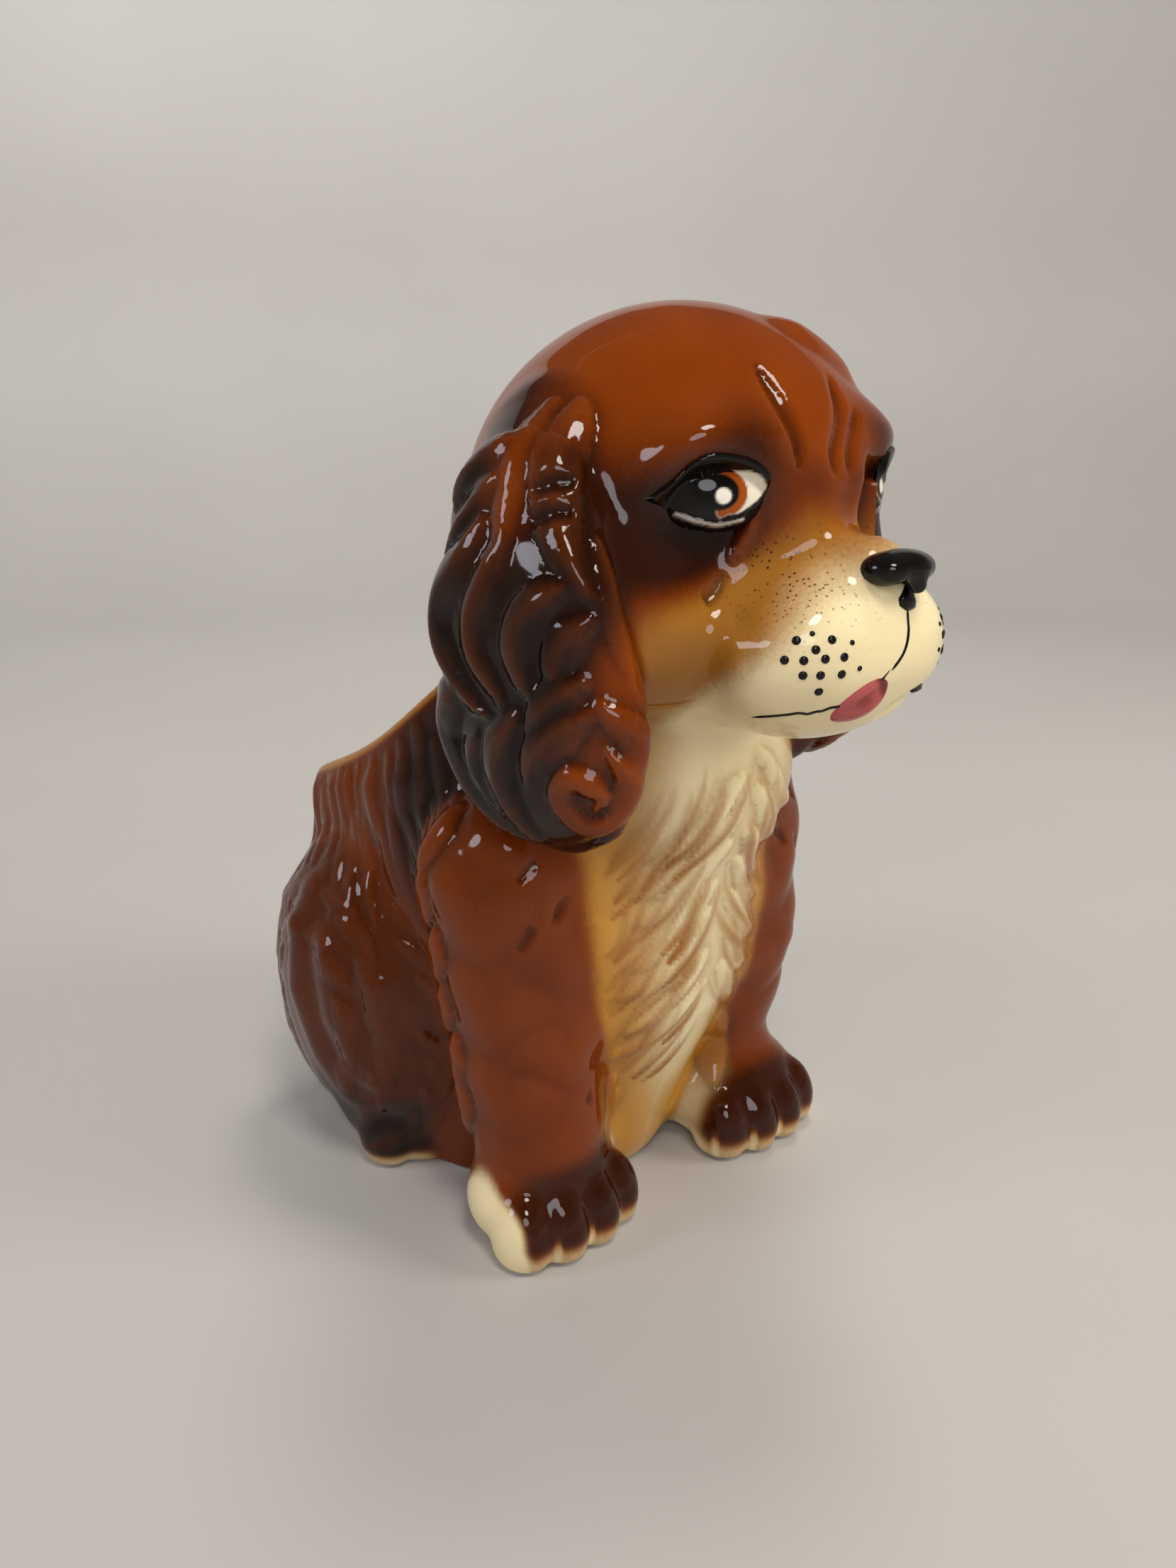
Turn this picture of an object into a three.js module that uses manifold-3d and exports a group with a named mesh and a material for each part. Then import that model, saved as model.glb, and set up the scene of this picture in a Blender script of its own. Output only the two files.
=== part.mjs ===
import * as THREE from "three";
import { mergeVertices } from "three/addons/utils/BufferGeometryUtils.js";
import Module from "manifold-3d";

const wasm = await Module();
wasm.setup();
const { Manifold } = wasm;

// A seated spaniel puppy in glazed earthenware with an open pot in its back.
// Millimetres, +Z up. The dog faces -Y and its left side is +X.

// Driving dimensions: clay
const wall = 5; // cast wall of pot, neck and head
const baseThickness = 6; // floor of the pot
const seam = 0.3; // slip joint between two clay sections

// Driving dimensions: pot and rim
const potHalfWidth = 40.5;
const potHalfLength = 39;
const potCentreY = 21;
const potSquareness = 3.4; // exponent of the pot's superellipse plan
const potSwellZ = 56; // height of its widest level
const footDraw = 8; // how much it draws in at its foot
const rimDraw = 2; // and towards its rim
const hollowHalfLength = 20; // planting hollow, front to back
const rimRearZ = 86; // rim height at the rump
const rimFrontZ = 128; // rim height where it dies into the neck
const rimFrontY = -13;
const rimDipY = 10; // control point that makes the rim sweep up in a hollow curve
const rimDipZ = 97;

// Driving dimensions: coat of the pot, leaf-shaped locks in staggered rows
const lockPitch = THREE.MathUtils.degToRad(19); // from lock to lock round the pot
const lockSpread = 0.64; // half width of a lock, as a share of the pitch
const lockHalfLength = 18;
const lockRowDrop = 16; // from row to row
const lockRise = 1.7; // locks above the smooth clay
const lockSweep = THREE.MathUtils.degToRad(0.35); // turn towards the front for each mm that a lock falls
const coatClimb = 0.28; // how steeply the rows climb towards the neck
const coatFade = 7; // height over which the locks die out at the rim and the foot
const coatFront = THREE.MathUtils.degToRad(140); // where the coat ends, round from the rump

// Driving dimensions: chest, belly and neck
const chestHalfWidth = 34;
const chestHalfDepth = 29;
const chestHalfHeight = 44;
const chestX = 3; // the chest leans a little to the dog's left
const chestY = -14;
const chestZ = 66;
const bellyHalfWidth = 23;
const bellyHalfDepth = 21;
const bellyHalfHeight = 32;
const bellyX = 1;
const bellyY = -8;
const bellyZ = 24;
const ruffHalfWidth = 21; // full hair under the throat
const ruffHalfDepth = 16;
const ruffHalfHeight = 17;
const ruffX = 10;
const ruffY = -33;
const ruffZ = 98;
const neckRadius = 28;
const neckFootY = -10;
const neckFootZ = 90;
const neckTopBack = 11; // top of the neck behind the head's centre
const neckTopDrop = 22; // and below it

// Driving dimensions: head, in the head's own frame
const headY = -36; // centre of the head
const headZ = 149;
const headTurn = THREE.MathUtils.degToRad(2); // towards the dog's left
const skullHalfWidth = 40;
const skullHalfDepth = 40;
const skullHalfHeight = 38.5;
const skullX = 1.5; // skull a little to the dog's left
const skullBack = 2.5; // and behind the head's centre
const muzzleHalfWidth = 21;
const muzzleHalfLength = 22;
const muzzleHalfHeight = 15;
const muzzleReach = 29.5; // centre of the muzzle ahead of the head's centre
const muzzleDrop = 18; // and below it
const bridgeRadius = 6.5; // ridge from the brow to the nose
const bridgeRise = 6.5; // how far the ridge stands above the muzzle
const chinHalfWidth = 16;
const chinHalfLength = 18.5;
const chinHalfHeight = 9;
const chinDrop = 7.5; // chin below the muzzle's centre
const chinBack = 3; // and behind it
const padHalfWidth = 12.5; // each whisker pad
const padHalfHeight = 11.5;
const padForward = 7; // pad ahead of the muzzle's centre
const padSpread = 10; // pad out from the middle
const cheekRadius = 18;
const cheekDrop = 14;
const cheekForward = 10;
const browHalfWidth = 11;
const browHalfDepth = 8;
const browHalfHeight = 8.5;
const browSpread = 17.2;
const browForward = 24.3;
const browLift = 11.5;
const noseHalfWidth = 7.5;
const noseHalfHeight = 4;
const noseHalfDepth = 5;
const noseBack = 2.5; // nose back from the front of the muzzle
const noseDrop = 1; // nose below the top of the muzzle
const eyeHalfWidth = 10;
const eyeHalfHeight = 8;
const eyeDepth = 7; // eyeball, front to middle
const eyeBulge = 3.6; // eyeball proud of its socket
const socketRadius = 13; // hollow of the face round each eye
const socketDepth = 5.5;
const socketTurn = THREE.MathUtils.degToRad(36); // its direction from the head's middle
const socketLift = THREE.MathUtils.degToRad(2);
const eyeTurn = THREE.MathUtils.degToRad(37); // eye's direction, away from straight ahead
const eyeLift = THREE.MathUtils.degToRad(12); // and above level
const tongueHalfWidth = 5.5;
const tongueThickness = 7;
const tongueAside = 7; // tongue to the dog's right of the muzzle's middle
const tongueForward = 15.5; // ahead of it
const tongueDrop = 5; // and below it

// Driving dimensions: ears
const earHalfWidth = 24; // front to back at the widest
const earThickness = 20;
const earLength = 73;
const earRootZ = 22; // top of the ear above the head's centre
const earSpread = 39; // middle of the ear's leather out from the head's middle
const earSwing = 5; // the right ear's tip swings forward
const farEarSwing = 13; // and the left ear's tip back
const farEarLength = 75; // the left ear hangs lower
const earProfile = [
  // from tip to root: out, forward, down and wide, as shares of spread, half width, length and half width
  [0.92, 0.12, 0.8, 0.76],
  [1, 0.1, 0.69, 1],
  [1.03, 0.03, 0.52, 0.93],
  [0.95, -0.06, 0.33, 0.78],
  [0.76, -0.1, 0.15, 0.52],
];

// Driving dimensions: legs and tail
const shoulderX = 31; // shoulder out from the chest's middle
const shoulderY = -18;
const shoulderZ = 80;
const shoulderRadius = 17.5;
const wristX = 29.5;
const wristY = -24;
const wristZ = 26;
const wristRadius = 14.5;
const leftWristRadius = 12; // the left leg is slimmer above its paw
const leftWristBack = 3.3; // and set back there
const pawHalfWidth = 17.5;
const pawHalfLength = 18;
const pawHeight = 23;
const pawForward = 2; // paw ahead of the wrist
const haunchHalfWidth = 19;
const haunchHalfLength = 31;
const haunchHalfHeight = 36;
const haunchSink = 4.5; // haunch's middle inside the pot's side
const haunchY = 26;
const haunchZ = 40;
const rollRadius = 7; // rolls of hair down the haunch
const rollRise = 1.7; // their crowns above the smooth haunch
const rollFillet = 2.5;
const haunchRolls = [
  // back from the haunch's middle and up from it
  [[12, 31], [23, 18], [27, 2], [21, -16], [10, -28]],
  [[1, 33], [4, 18], [1, 4], [-6, -10], [-11, -20]],
  [[-12, 29], [-10, 15], [-14, 2], [-19, -10]],
  [[-22, 22], [-23, 12], [-28, 2]],
];
const hindPawHalfWidth = 14;
const hindPawHalfLength = 17;
const hindPawHeight = 20;
const hindPawForward = 4; // hind paw ahead of the haunch's middle
const hindPawSink = 4; // and closer in under the pot
const pawMiddle = 0.42; // height of a paw's middle, as a share of its height
const toeRadius = 6.2;
const toeHalfLength = 7.5;
const toeHalfHeight = 9.5;
const toeSet = 3.7; // toe's middle in from the edge of the paw
const toeCount = 4;
const toeFan = THREE.MathUtils.degToRad(112); // spread of the toes
const tailRadius = 8;
const tailTipRadius = 5.6;
const tailLength = 34;

// Fillets, where one form runs into the next
const bodyFillet = 13;
const faceFillet = 6;
const pawFillet = 6;

// Fineness of the surfaces
const rayStep = 0.002; // how closely a point is brought to its surface
const rimFacets = 12;
const ballRings = { sides: 14, levels: 7 };
const potRings = { sides: 88, levels: 25 };
const hollowRings = { sides: 36, levels: 10 };
const chestRings = { sides: 36, levels: 18 };
const faceRings = { sides: 72, levels: 38 };
const boreRings = { sides: 24, levels: 12 };
const limbRings = { sides: 24, levels: 18 };
const haunchRings = { sides: 36, levels: 22 };
const tailRings = { sides: 14, levels: 10 };

// Glaze colours
const chestnut = { color: 0x8a3d1a, roughness: 0.12, metalness: 0 };
const umber = { color: 0x3a1d12, roughness: 0.12, metalness: 0 };
const sienna = { color: 0x9c4a20, roughness: 0.12, metalness: 0 };
const black = { color: 0x0c0a09, roughness: 0.1, metalness: 0 };
const rose = { color: 0xa8484c, roughness: 0.15, metalness: 0 };

// Forms: each gives a point's depth inside its surface in mm, and the box that holds it

function ellipsoid([x, y, z], [a, b, c]) {
  const at = (p) => {
    const u = (p[0] - x) / a;
    const v = (p[1] - y) / b;
    const w = (p[2] - z) / c;
    const share = Math.hypot(u, v, w);
    const slope = Math.hypot(u / a, v / b, w / c);
    return slope > 0 ? (share * (1 - share)) / slope : Math.min(a, b, c);
  };
  const low = new THREE.Vector3(x - a, y - b, z - c);
  const high = new THREE.Vector3(x + a, y + b, z + c);
  return { at, box: new THREE.Box3(low, high) };
}

// A run of balls joined by straight tapers, each given as [x, y, z, radius].
function limb(balls) {
  const taper = (p, [x, y, z, r], end) => {
    const [dx, dy, dz] = [end[0] - x, end[1] - y, end[2] - z];
    const along = (p[0] - x) * dx + (p[1] - y) * dy + (p[2] - z) * dz;
    const t = THREE.MathUtils.clamp(along / (dx * dx + dy * dy + dz * dz), 0, 1);
    return r + t * (end[3] - r) - Math.hypot(p[0] - x - t * dx, p[1] - y - t * dy, p[2] - z - t * dz);
  };
  const at = (p) => {
    let depth = -Infinity;
    for (let i = 1; i < balls.length; i++) {
      depth = Math.max(depth, taper(p, balls[i - 1], balls[i]));
    }
    return depth;
  };
  const box = new THREE.Box3();
  for (const [x, y, z, r] of balls) {
    box.union(ellipsoid([x, y, z], [r, r, r]).box);
  }
  return { at, box };
}

// A form made thinner along X about the middle plane, keeping its place when drawn stretched.
function flatten(form, share) {
  const at = (p) => form.at([p[0] / share, p[1], p[2]]) * share;
  const box = form.box.clone();
  box.min.x *= share;
  box.max.x *= share;
  return { at, box };
}

// Rounds the crease between two depths over the given width.
function soften(a, b, width) {
  const share = Math.max(width - Math.abs(a - b), 0) / width;
  return Math.max(a, b) + (share * share * width) / 4;
}

function fuse(fillet, first, ...rest) {
  const at = (p) => rest.reduce((depth, form) => soften(depth, form.at(p), fillet), first.at(p));
  const box = rest.reduce((all, form) => all.union(form.box), first.box.clone());
  return { at, box };
}

function carve(fillet, form, tool) {
  const at = (p) => -soften(-form.at(p), tool.at(p), fillet);
  return { at, box: form.box };
}

// Solids

function solid(geometry) {
  geometry.deleteAttribute("normal");
  geometry.deleteAttribute("uv");
  const merged = mergeVertices(geometry);
  const vertProperties = Float32Array.from(merged.getAttribute("position").array);
  return new Manifold(
    new wasm.Mesh({ numProp: 3, vertProperties, triVerts: Uint32Array.from(merged.index.array) }),
  );
}

// Closes a stack of rings, given from the bottom up, with a point at each end.
function closed(bottom, rings, top) {
  const sides = rings[0].length;
  const points = [bottom, ...rings.flat(), top];
  const at = (ring, i) => 1 + ring * sides + (i % sides);
  const last = rings.length - 1;
  const faces = [];
  for (let i = 0; i < sides; i++) {
    faces.push(0, at(0, i + 1), at(0, i));
    faces.push(at(last, i), at(last, i + 1), points.length - 1);
    for (let k = 0; k < last; k++) {
      faces.push(at(k, i), at(k, i + 1), at(k + 1, i + 1));
      faces.push(at(k, i), at(k + 1, i + 1), at(k + 1, i));
    }
  }
  const vertProperties = Float32Array.from(points.flat());
  return new Manifold(new wasm.Mesh({ numProp: 3, vertProperties, triVerts: Uint32Array.from(faces) }));
}

// The point where a ray from inside a form comes to the given depth under its surface.
function exit(form, from, direction, depth) {
  const along = (length) => from.map((value, i) => value + direction[i] * length);
  let [near, far] = [0, form.box.getSize(new THREE.Vector3()).length()];
  while (far - near > rayStep) {
    const middle = (near + far) / 2;
    [near, far] = form.at(along(middle)) > depth ? [middle, far] : [near, middle];
  }
  return along(near);
}

// The skin of a form round an upright spine, moved in by the inset, or out by a negative one.
// Its ends are where the spine leaves the form, or level cuts at the given heights.
function skin(form, { spine, sides, levels, share = 1, cuts }, inset = 0) {
  const onSpine = (z) => {
    const upper = Math.max(1, spine.findIndex((point) => point[2] >= z));
    const [a, b] = z > spine.at(-1)[2] ? spine.slice(-2) : [spine[upper - 1], spine[upper]];
    const t = THREE.MathUtils.clamp((z - a[2]) / (b[2] - a[2]), 0, 1);
    return [a[0] + t * (b[0] - a[0]), a[1] + t * (b[1] - a[1]), z];
  };
  const ends = cuts ?? [
    exit(form, spine[0], [0, 0, -1], inset)[2],
    exit(form, spine.at(-1), [0, 0, 1], inset)[2],
  ];
  const turns = Array.from({ length: sides }, (_, i) => (i / sides) * 2 * Math.PI);
  const heights = Array.from({ length: levels }, (_, k) => {
    const rise = cuts ? k / (levels - 1) : (1 - Math.cos((Math.PI * (k + 1)) / (levels + 1))) / 2;
    return THREE.MathUtils.lerp(ends[0], ends[1], rise);
  });
  const rings = heights.map((z) =>
    turns.map((turn) => exit(form, onSpine(z), [share * Math.cos(turn), Math.sin(turn), 0], inset)),
  );
  return closed(onSpine(ends[0]), rings, onSpine(ends[1]));
}

// The skin of a form round the middle of its frame.
function globe(form, { sides, levels }, inset = 0) {
  const ray = (turn, tilt) => {
    const flat = Math.cos(tilt);
    return exit(form, [0, 0, 0], [flat * Math.cos(turn), flat * Math.sin(turn), Math.sin(tilt)], inset);
  };
  const rings = Array.from({ length: levels }, (_, k) => {
    const tilt = ((k + 1) / (levels + 1) - 0.5) * Math.PI;
    return Array.from({ length: sides }, (_, i) => ray((i / sides) * 2 * Math.PI, tilt));
  });
  return closed(ray(0, -Math.PI / 2), rings, ray(0, Math.PI / 2));
}

function ball(centre, halves, inset = 0) {
  const round = new THREE.SphereGeometry(1, ballRings.sides, ballRings.levels);
  return solid(round.scale(...halves.map((half) => half - inset)).translate(...centre));
}

function below(z) {
  const span = 2 * (potHalfLength + chestHalfDepth + skullHalfDepth + earLength);
  return solid(new THREE.BoxGeometry(span, span, span).translate(0, 0, z - span / 2));
}

// The largest body of a cut piece, without the crumbs that a cut can leave.
function mainBody(piece) {
  return piece.decompose().reduce((a, b) => (a.volume() > b.volume() ? a : b));
}

function mesh(name, piece, glaze) {
  const { numProp, vertProperties, triVerts } = mainBody(piece).getMesh();
  const points = Array.from(vertProperties).filter((_, i) => i % numProp < 3);
  const geometry = new THREE.BufferGeometry();
  geometry.setAttribute("position", new THREE.Float32BufferAttribute(points, 3));
  geometry.setIndex(new THREE.BufferAttribute(triVerts, 1));
  geometry.computeVertexNormals();
  const made = new THREE.Mesh(geometry, new THREE.MeshStandardMaterial(glaze));
  made.name = name;
  return made;
}

// Frames: the head turns on the neck
const headMatrix = new THREE.Matrix4().makeRotationZ(headTurn).setPosition(0, headY, headZ);
const fromHead = (piece) => piece.transform(headMatrix.elements);
const intoHead = (piece) => piece.transform(headMatrix.clone().invert().elements);

// Pot: a squarish tub, widest at its middle, drawn in at its foot and a little towards the rim
function tub(centreY, halfLength) {
  const { smoothstep } = THREE.MathUtils;
  const at = ([x, y, z]) => {
    const foot = footDraw * (1 - smoothstep(z, -potSwellZ / 2, potSwellZ));
    const draw = foot + rimDraw * smoothstep(z, potSwellZ, rimFrontZ);
    const a = potHalfWidth - draw;
    const b = halfLength - draw;
    const u = Math.abs(x) / a;
    const v = Math.abs(y - centreY) / b;
    const share = (u ** potSquareness + v ** potSquareness) ** (1 / potSquareness);
    const steep = potSquareness - 1;
    const slope = Math.hypot(u ** steep / a, v ** steep / b) / share ** steep;
    return share > 0 ? (1 - share) / slope : Math.min(a, b);
  };
  const low = new THREE.Vector3(-potHalfWidth, centreY - halfLength, 0);
  const high = new THREE.Vector3(potHalfWidth, centreY + halfLength, rimFrontZ);
  return { at, box: new THREE.Box3(low, high) };
}

const rumpY = potCentreY + potHalfLength;

// A form with the locks of the coat laid on it
function coated(form) {
  const { smoothstep } = THREE.MathUtils;
  const leaf = (turn, drop, row) => {
    const place = (turn - lockSweep * drop) / lockPitch - (row % 2) / 2;
    const across = (place - Math.round(place)) / lockSpread;
    const along = (drop - (row + 0.5) * lockRowDrop) / lockHalfLength;
    return 1 - across ** 2 - along ** 2;
  };
  const at = (p) => {
    const turn = Math.abs(Math.atan2(p[0], p[1] - potCentreY));
    const drop = rimRearZ + coatClimb * (rumpY - p[1]) - p[2];
    const row = Math.floor(drop / lockRowDrop);
    const rise = Math.max(0, ...[row - 1, row, row + 1].map((near) => leaf(turn, drop, Math.abs(near))));
    const ends = smoothstep(drop, 0, coatFade) * smoothstep(p[2], 0, 2 * coatFade);
    const sides = 1 - smoothstep(turn, coatFront - 2 * lockPitch, coatFront);
    return form.at(p) + lockRise * rise * ends * sides;
  };
  return { at, box: form.box.clone().expandByScalar(lockRise) };
}

// Everything of the pot above its swept rim
function aboveRim(lift) {
  const reach = 2 * (potHalfLength + chestHalfDepth);
  const rim = new THREE.QuadraticBezierCurve(
    new THREE.Vector2(rumpY, rimRearZ + lift),
    new THREE.Vector2(rimDipY, rimDipZ + lift),
    new THREE.Vector2(rimFrontY, rimFrontZ + lift),
  );
  const outline = new THREE.Shape([
    new THREE.Vector2(rumpY + reach, rimRearZ + lift),
    new THREE.Vector2(rumpY + reach, rimFrontZ + reach),
    new THREE.Vector2(rimFrontY - reach, rimFrontZ + reach),
    new THREE.Vector2(rimFrontY - reach, rimFrontZ + lift),
    ...rim.getPoints(rimFacets).reverse(),
  ]);
  const upright = new THREE.Matrix4().makeBasis(
    new THREE.Vector3(0, 1, 0),
    new THREE.Vector3(0, 0, 1),
    new THREE.Vector3(1, 0, 0),
  );
  const across = 4 * potHalfWidth;
  const slab = new THREE.ExtrudeGeometry(outline, { depth: across, bevelEnabled: false });
  return solid(slab.translate(0, 0, -across / 2).applyMatrix4(upright));
}

// Chest, belly and neck run into one another and into the pot
const chest = ellipsoid([chestX, chestY, chestZ], [chestHalfWidth, chestHalfDepth, chestHalfHeight]);
const belly = ellipsoid([bellyX, bellyY, bellyZ], [bellyHalfWidth, bellyHalfDepth, bellyHalfHeight]);
const neckSpine = [
  [0, neckFootY, neckFootZ],
  [0, headY + neckTopBack, headZ - neckTopDrop],
];
const neck = limb(neckSpine.map((place) => [...place, neckRadius]));
const ruff = ellipsoid([ruffX, ruffY, ruffZ], [ruffHalfWidth, ruffHalfDepth, ruffHalfHeight]);
const front = fuse(bodyFillet, chest, belly, neck, ruff);
const torso = fuse(bodyFillet, coated(tub(potCentreY, potHalfLength)), front);

const torsoSkin = {
  spine: [
    [0, bellyY, 0],
    [0, neckFootY, rimFrontZ],
  ],
  cuts: [-wall, rimFrontZ + wall],
  ...potRings,
};
const frontSkin = {
  spine: [[bellyX, bellyY, bellyZ], [chestX, chestY, chestZ], ...neckSpine],
  ...chestRings,
};

function bodyForm(inset) {
  const risen = skin(front, frontSkin, inset).intersect(aboveRim(-inset - seam));
  return skin(torso, torsoSkin, inset).subtract(aboveRim(-inset)).add(risen);
}

// The planting hollow lies behind the neck, one wall in from the rump
function plantingHollow() {
  const middle = rumpY - wall - hollowHalfLength;
  const hollow = tub(middle, hollowHalfLength + wall);
  const cuts = [baseThickness, rimFrontZ + wall];
  const spine = cuts.map((z) => [0, middle, z]);
  return skin(hollow, { spine, cuts, ...hollowRings }, wall).subtract(skin(front, frontSkin));
}

function bodyPot() {
  const chestHollow = skin(front, frontSkin, wall).subtract(below(baseThickness));
  return bodyForm(0)
    .subtract(plantingHollow())
    .subtract(chestHollow)
    .subtract(fromHead(headSurface))
    .subtract(below(0));
}

// Head: skull, cheeks and brows, and a muzzle with its bridge, chin and two whisker pads
const skull = ellipsoid([skullX, skullBack, 0], [skullHalfWidth, skullHalfDepth, skullHalfHeight]);

const facing = (side, turn, lift) => new THREE.Euler(-lift, 0, side * turn, "ZYX");
const eyeEuler = (side) => facing(side, eyeTurn, eyeLift);
const eyeDirection = (side) => new THREE.Vector3(0, -1, 0).applyEuler(eyeEuler(side));

function socket(side) {
  const direction = new THREE.Vector3(0, -1, 0).applyEuler(facing(side, socketTurn, socketLift));
  const surface = new THREE.Vector3(...exit(skull, [0, 0, 0], direction.toArray(), 0));
  const centre = surface.addScaledVector(direction, socketRadius - socketDepth);
  return ellipsoid(centre.toArray(), Array(3).fill(socketRadius));
}

function headForm() {
  const muzzle = ellipsoid(
    [0, -muzzleReach, -muzzleDrop],
    [muzzleHalfWidth, muzzleHalfLength, muzzleHalfHeight],
  );
  const ridgeZ = muzzleHalfHeight - muzzleDrop + bridgeRise - bridgeRadius;
  const bridge = limb([
    [0, -muzzleReach, ridgeZ, bridgeRadius],
    [0, bridgeRadius + noseBack - muzzleReach - muzzleHalfLength, ridgeZ - noseBack, bridgeRadius],
  ]);
  const chin = ellipsoid(
    [0, chinBack - muzzleReach, -muzzleDrop - chinDrop],
    [chinHalfWidth, chinHalfLength, chinHalfHeight],
  );
  const cheekX = skullHalfWidth - cheekRadius;
  const pairs = [-1, 1].flatMap((side) => [
    ellipsoid(
      [side * padSpread, -muzzleReach - padForward, -muzzleDrop],
      [padHalfWidth, padHalfWidth, padHalfHeight],
    ),
    ellipsoid([side * cheekX, -cheekForward, -cheekDrop], Array(3).fill(cheekRadius)),
    ellipsoid(
      [side * browSpread, -browForward, browLift],
      [browHalfWidth, browHalfDepth, browHalfHeight],
    ),
  ]);
  const whole = fuse(faceFillet, skull, muzzle, bridge, chin, ...pairs);
  return [-1, 1].reduce((form, side) => carve(faceFillet, form, socket(side)), whole);
}

const face = headForm();
const headSurface = globe(face, faceRings, -seam);
const bodySurface = bodyForm(-seam);

function headShell() {
  const bore = skin(neck, { spine: neckSpine, ...boreRings }, wall);
  return globe(face, faceRings).subtract(globe(skull, boreRings, wall).add(intoHead(bore)));
}

// What is laid on the head is cut to its surface
function earSolid(side, inset = 0) {
  const share = earThickness / (2 * earHalfWidth);
  const [swing, length] = side < 0 ? [-earSwing, earLength] : [farEarSwing, farEarLength];
  const levels = earProfile.map(([out, forward, drop, width]) => [
    side * earSpread * out,
    swing * drop - forward * earHalfWidth,
    earRootZ - length * drop,
    earHalfWidth * width,
  ]);
  const form = flatten(limb(levels.map(([x, ...rest]) => [x / share, ...rest])), share);
  const spine = levels.map((place) => place.slice(0, 3));
  return skin(form, { spine, share, ...limbRings }, inset);
}

const ear = (side) => earSolid(side).subtract(headSurface).subtract(intoHead(bodySurface));

const muzzleMiddle = [0, -muzzleReach, -muzzleDrop];

function nose() {
  const direction = [0, noseBack - muzzleHalfLength, muzzleHalfHeight - noseDrop];
  const place = exit(face, muzzleMiddle, direction, 0);
  return ball(place, [noseHalfWidth, noseHalfDepth, noseHalfHeight]).subtract(headSurface);
}

// The tip of the tongue lies over the lower lip
function tongue() {
  const direction = [-tongueAside, -tongueForward, -tongueDrop];
  const place = exit(face, muzzleMiddle, direction, 0);
  return ball(place, [tongueHalfWidth, tongueHalfWidth, tongueThickness / 2]).subtract(headSurface);
}

function eye(side) {
  const direction = eyeDirection(side);
  const surface = new THREE.Vector3(...exit(face, [0, 0, 0], direction.toArray(), 0));
  const place = surface.addScaledVector(direction, eyeBulge - eyeDepth);
  const turned = new THREE.Matrix4().makeRotationFromEuler(eyeEuler(side)).setPosition(place);
  return ball([0, 0, 0], [eyeHalfWidth, eyeDepth, eyeHalfHeight])
    .transform(turned.elements)
    .subtract(headSurface);
}

// Legs: a limb run into a paw, with a fan of toes, cut flat where it stands
function toes([x, y], halfWidth, halfLength, inset) {
  const turns = Array.from({ length: toeCount }, (_, i) => ((i + 0.5) / toeCount - 0.5) * toeFan);
  return turns.map((turn) => {
    const toeX = x + halfWidth * Math.sin(turn);
    const toeY = y - (halfLength - 2 * toeSet) * Math.cos(turn);
    return ball([toeX, toeY, toeRadius], [toeRadius, toeHalfLength, toeHalfHeight], inset);
  });
}

function paw([x, y], halfWidth, halfLength, height) {
  const sizes = [halfWidth, halfLength - toeSet, height * (1 - pawMiddle)];
  return ellipsoid([x, y, height * pawMiddle], sizes);
}

function leg(form, path, fan, inset) {
  return fan.reduce((all, toe) => all.add(toe), skin(form, path, inset));
}

function foreleg(side, inset = 0) {
  const top = [chestX + side * shoulderX, shoulderY, shoulderZ];
  const wrist = [chestX + side * wristX, wristY, wristZ];
  const elbow = top.map((value, i) => (value + wrist[i]) / 2);
  const slim = side > 0;
  const upright = limb([
    [wrist[0], wristY + (slim ? leftWristBack : 0), wristZ, slim ? leftWristRadius : wristRadius],
    [...elbow, (shoulderRadius + wristRadius) / 2],
    [...top, shoulderRadius],
  ]);
  const place = [wrist[0], wristY - pawForward];
  const form = fuse(pawFillet, upright, paw(place, pawHalfWidth, pawHalfLength, pawHeight));
  const spine = [[...place, pawHeight / 2], wrist, elbow, top];
  return leg(form, { spine, ...limbRings }, toes(place, pawHalfWidth, pawHalfLength, inset), inset);
}

// A roll of hair along points drawn on the haunch's outer side, dying into it at both ends
function roll(side, points) {
  const halves = new THREE.Vector3(haunchHalfWidth, haunchHalfLength, haunchHalfHeight);
  const balls = points.map(([back, up], i) => {
    const out = Math.sqrt(Math.max(0, 1 - (back / halves.y) ** 2 - (up / halves.z) ** 2));
    const surface = new THREE.Vector3(side * halves.x * out, back, up);
    const normal = surface.clone().divide(halves).divide(halves).normalize();
    const full = Math.sin((Math.PI * (i + 0.5)) / points.length);
    const { x, y, z } = surface.addScaledVector(normal, rollRise * full - rollRadius);
    return [x + side * (potHalfWidth - haunchSink), y + haunchY, z + haunchZ, rollRadius];
  });
  return limb(balls);
}

function hindLeg(side, inset = 0) {
  const haunchX = side * (potHalfWidth - haunchSink);
  const ham = ellipsoid(
    [haunchX, haunchY, haunchZ],
    [haunchHalfWidth, haunchHalfLength, haunchHalfHeight],
  );
  const haunch = fuse(rollFillet, ham, ...haunchRolls.map((points) => roll(side, points)));
  const place = [haunchX - side * hindPawSink, haunchY - hindPawForward];
  const foot = paw(place, hindPawHalfWidth, hindPawHalfLength, hindPawHeight);
  const spine = [[...place, hindPawHeight / 2], [haunchX, haunchY, haunchZ]];
  const fan = toes(place, hindPawHalfWidth, hindPawHalfLength, inset);
  return leg(fuse(pawFillet, haunch, foot), { spine, ...haunchRings }, fan, inset);
}

function trimmedForeleg(side) {
  return foreleg(side)
    .subtract(bodySurface)
    .subtract(fromHead(earSolid(side, -seam)))
    .subtract(fromHead(headSurface))
    .subtract(below(0));
}

function trimmedHindLeg(side) {
  return hindLeg(side).subtract(bodySurface).subtract(foreleg(side, -seam)).subtract(below(0));
}

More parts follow.
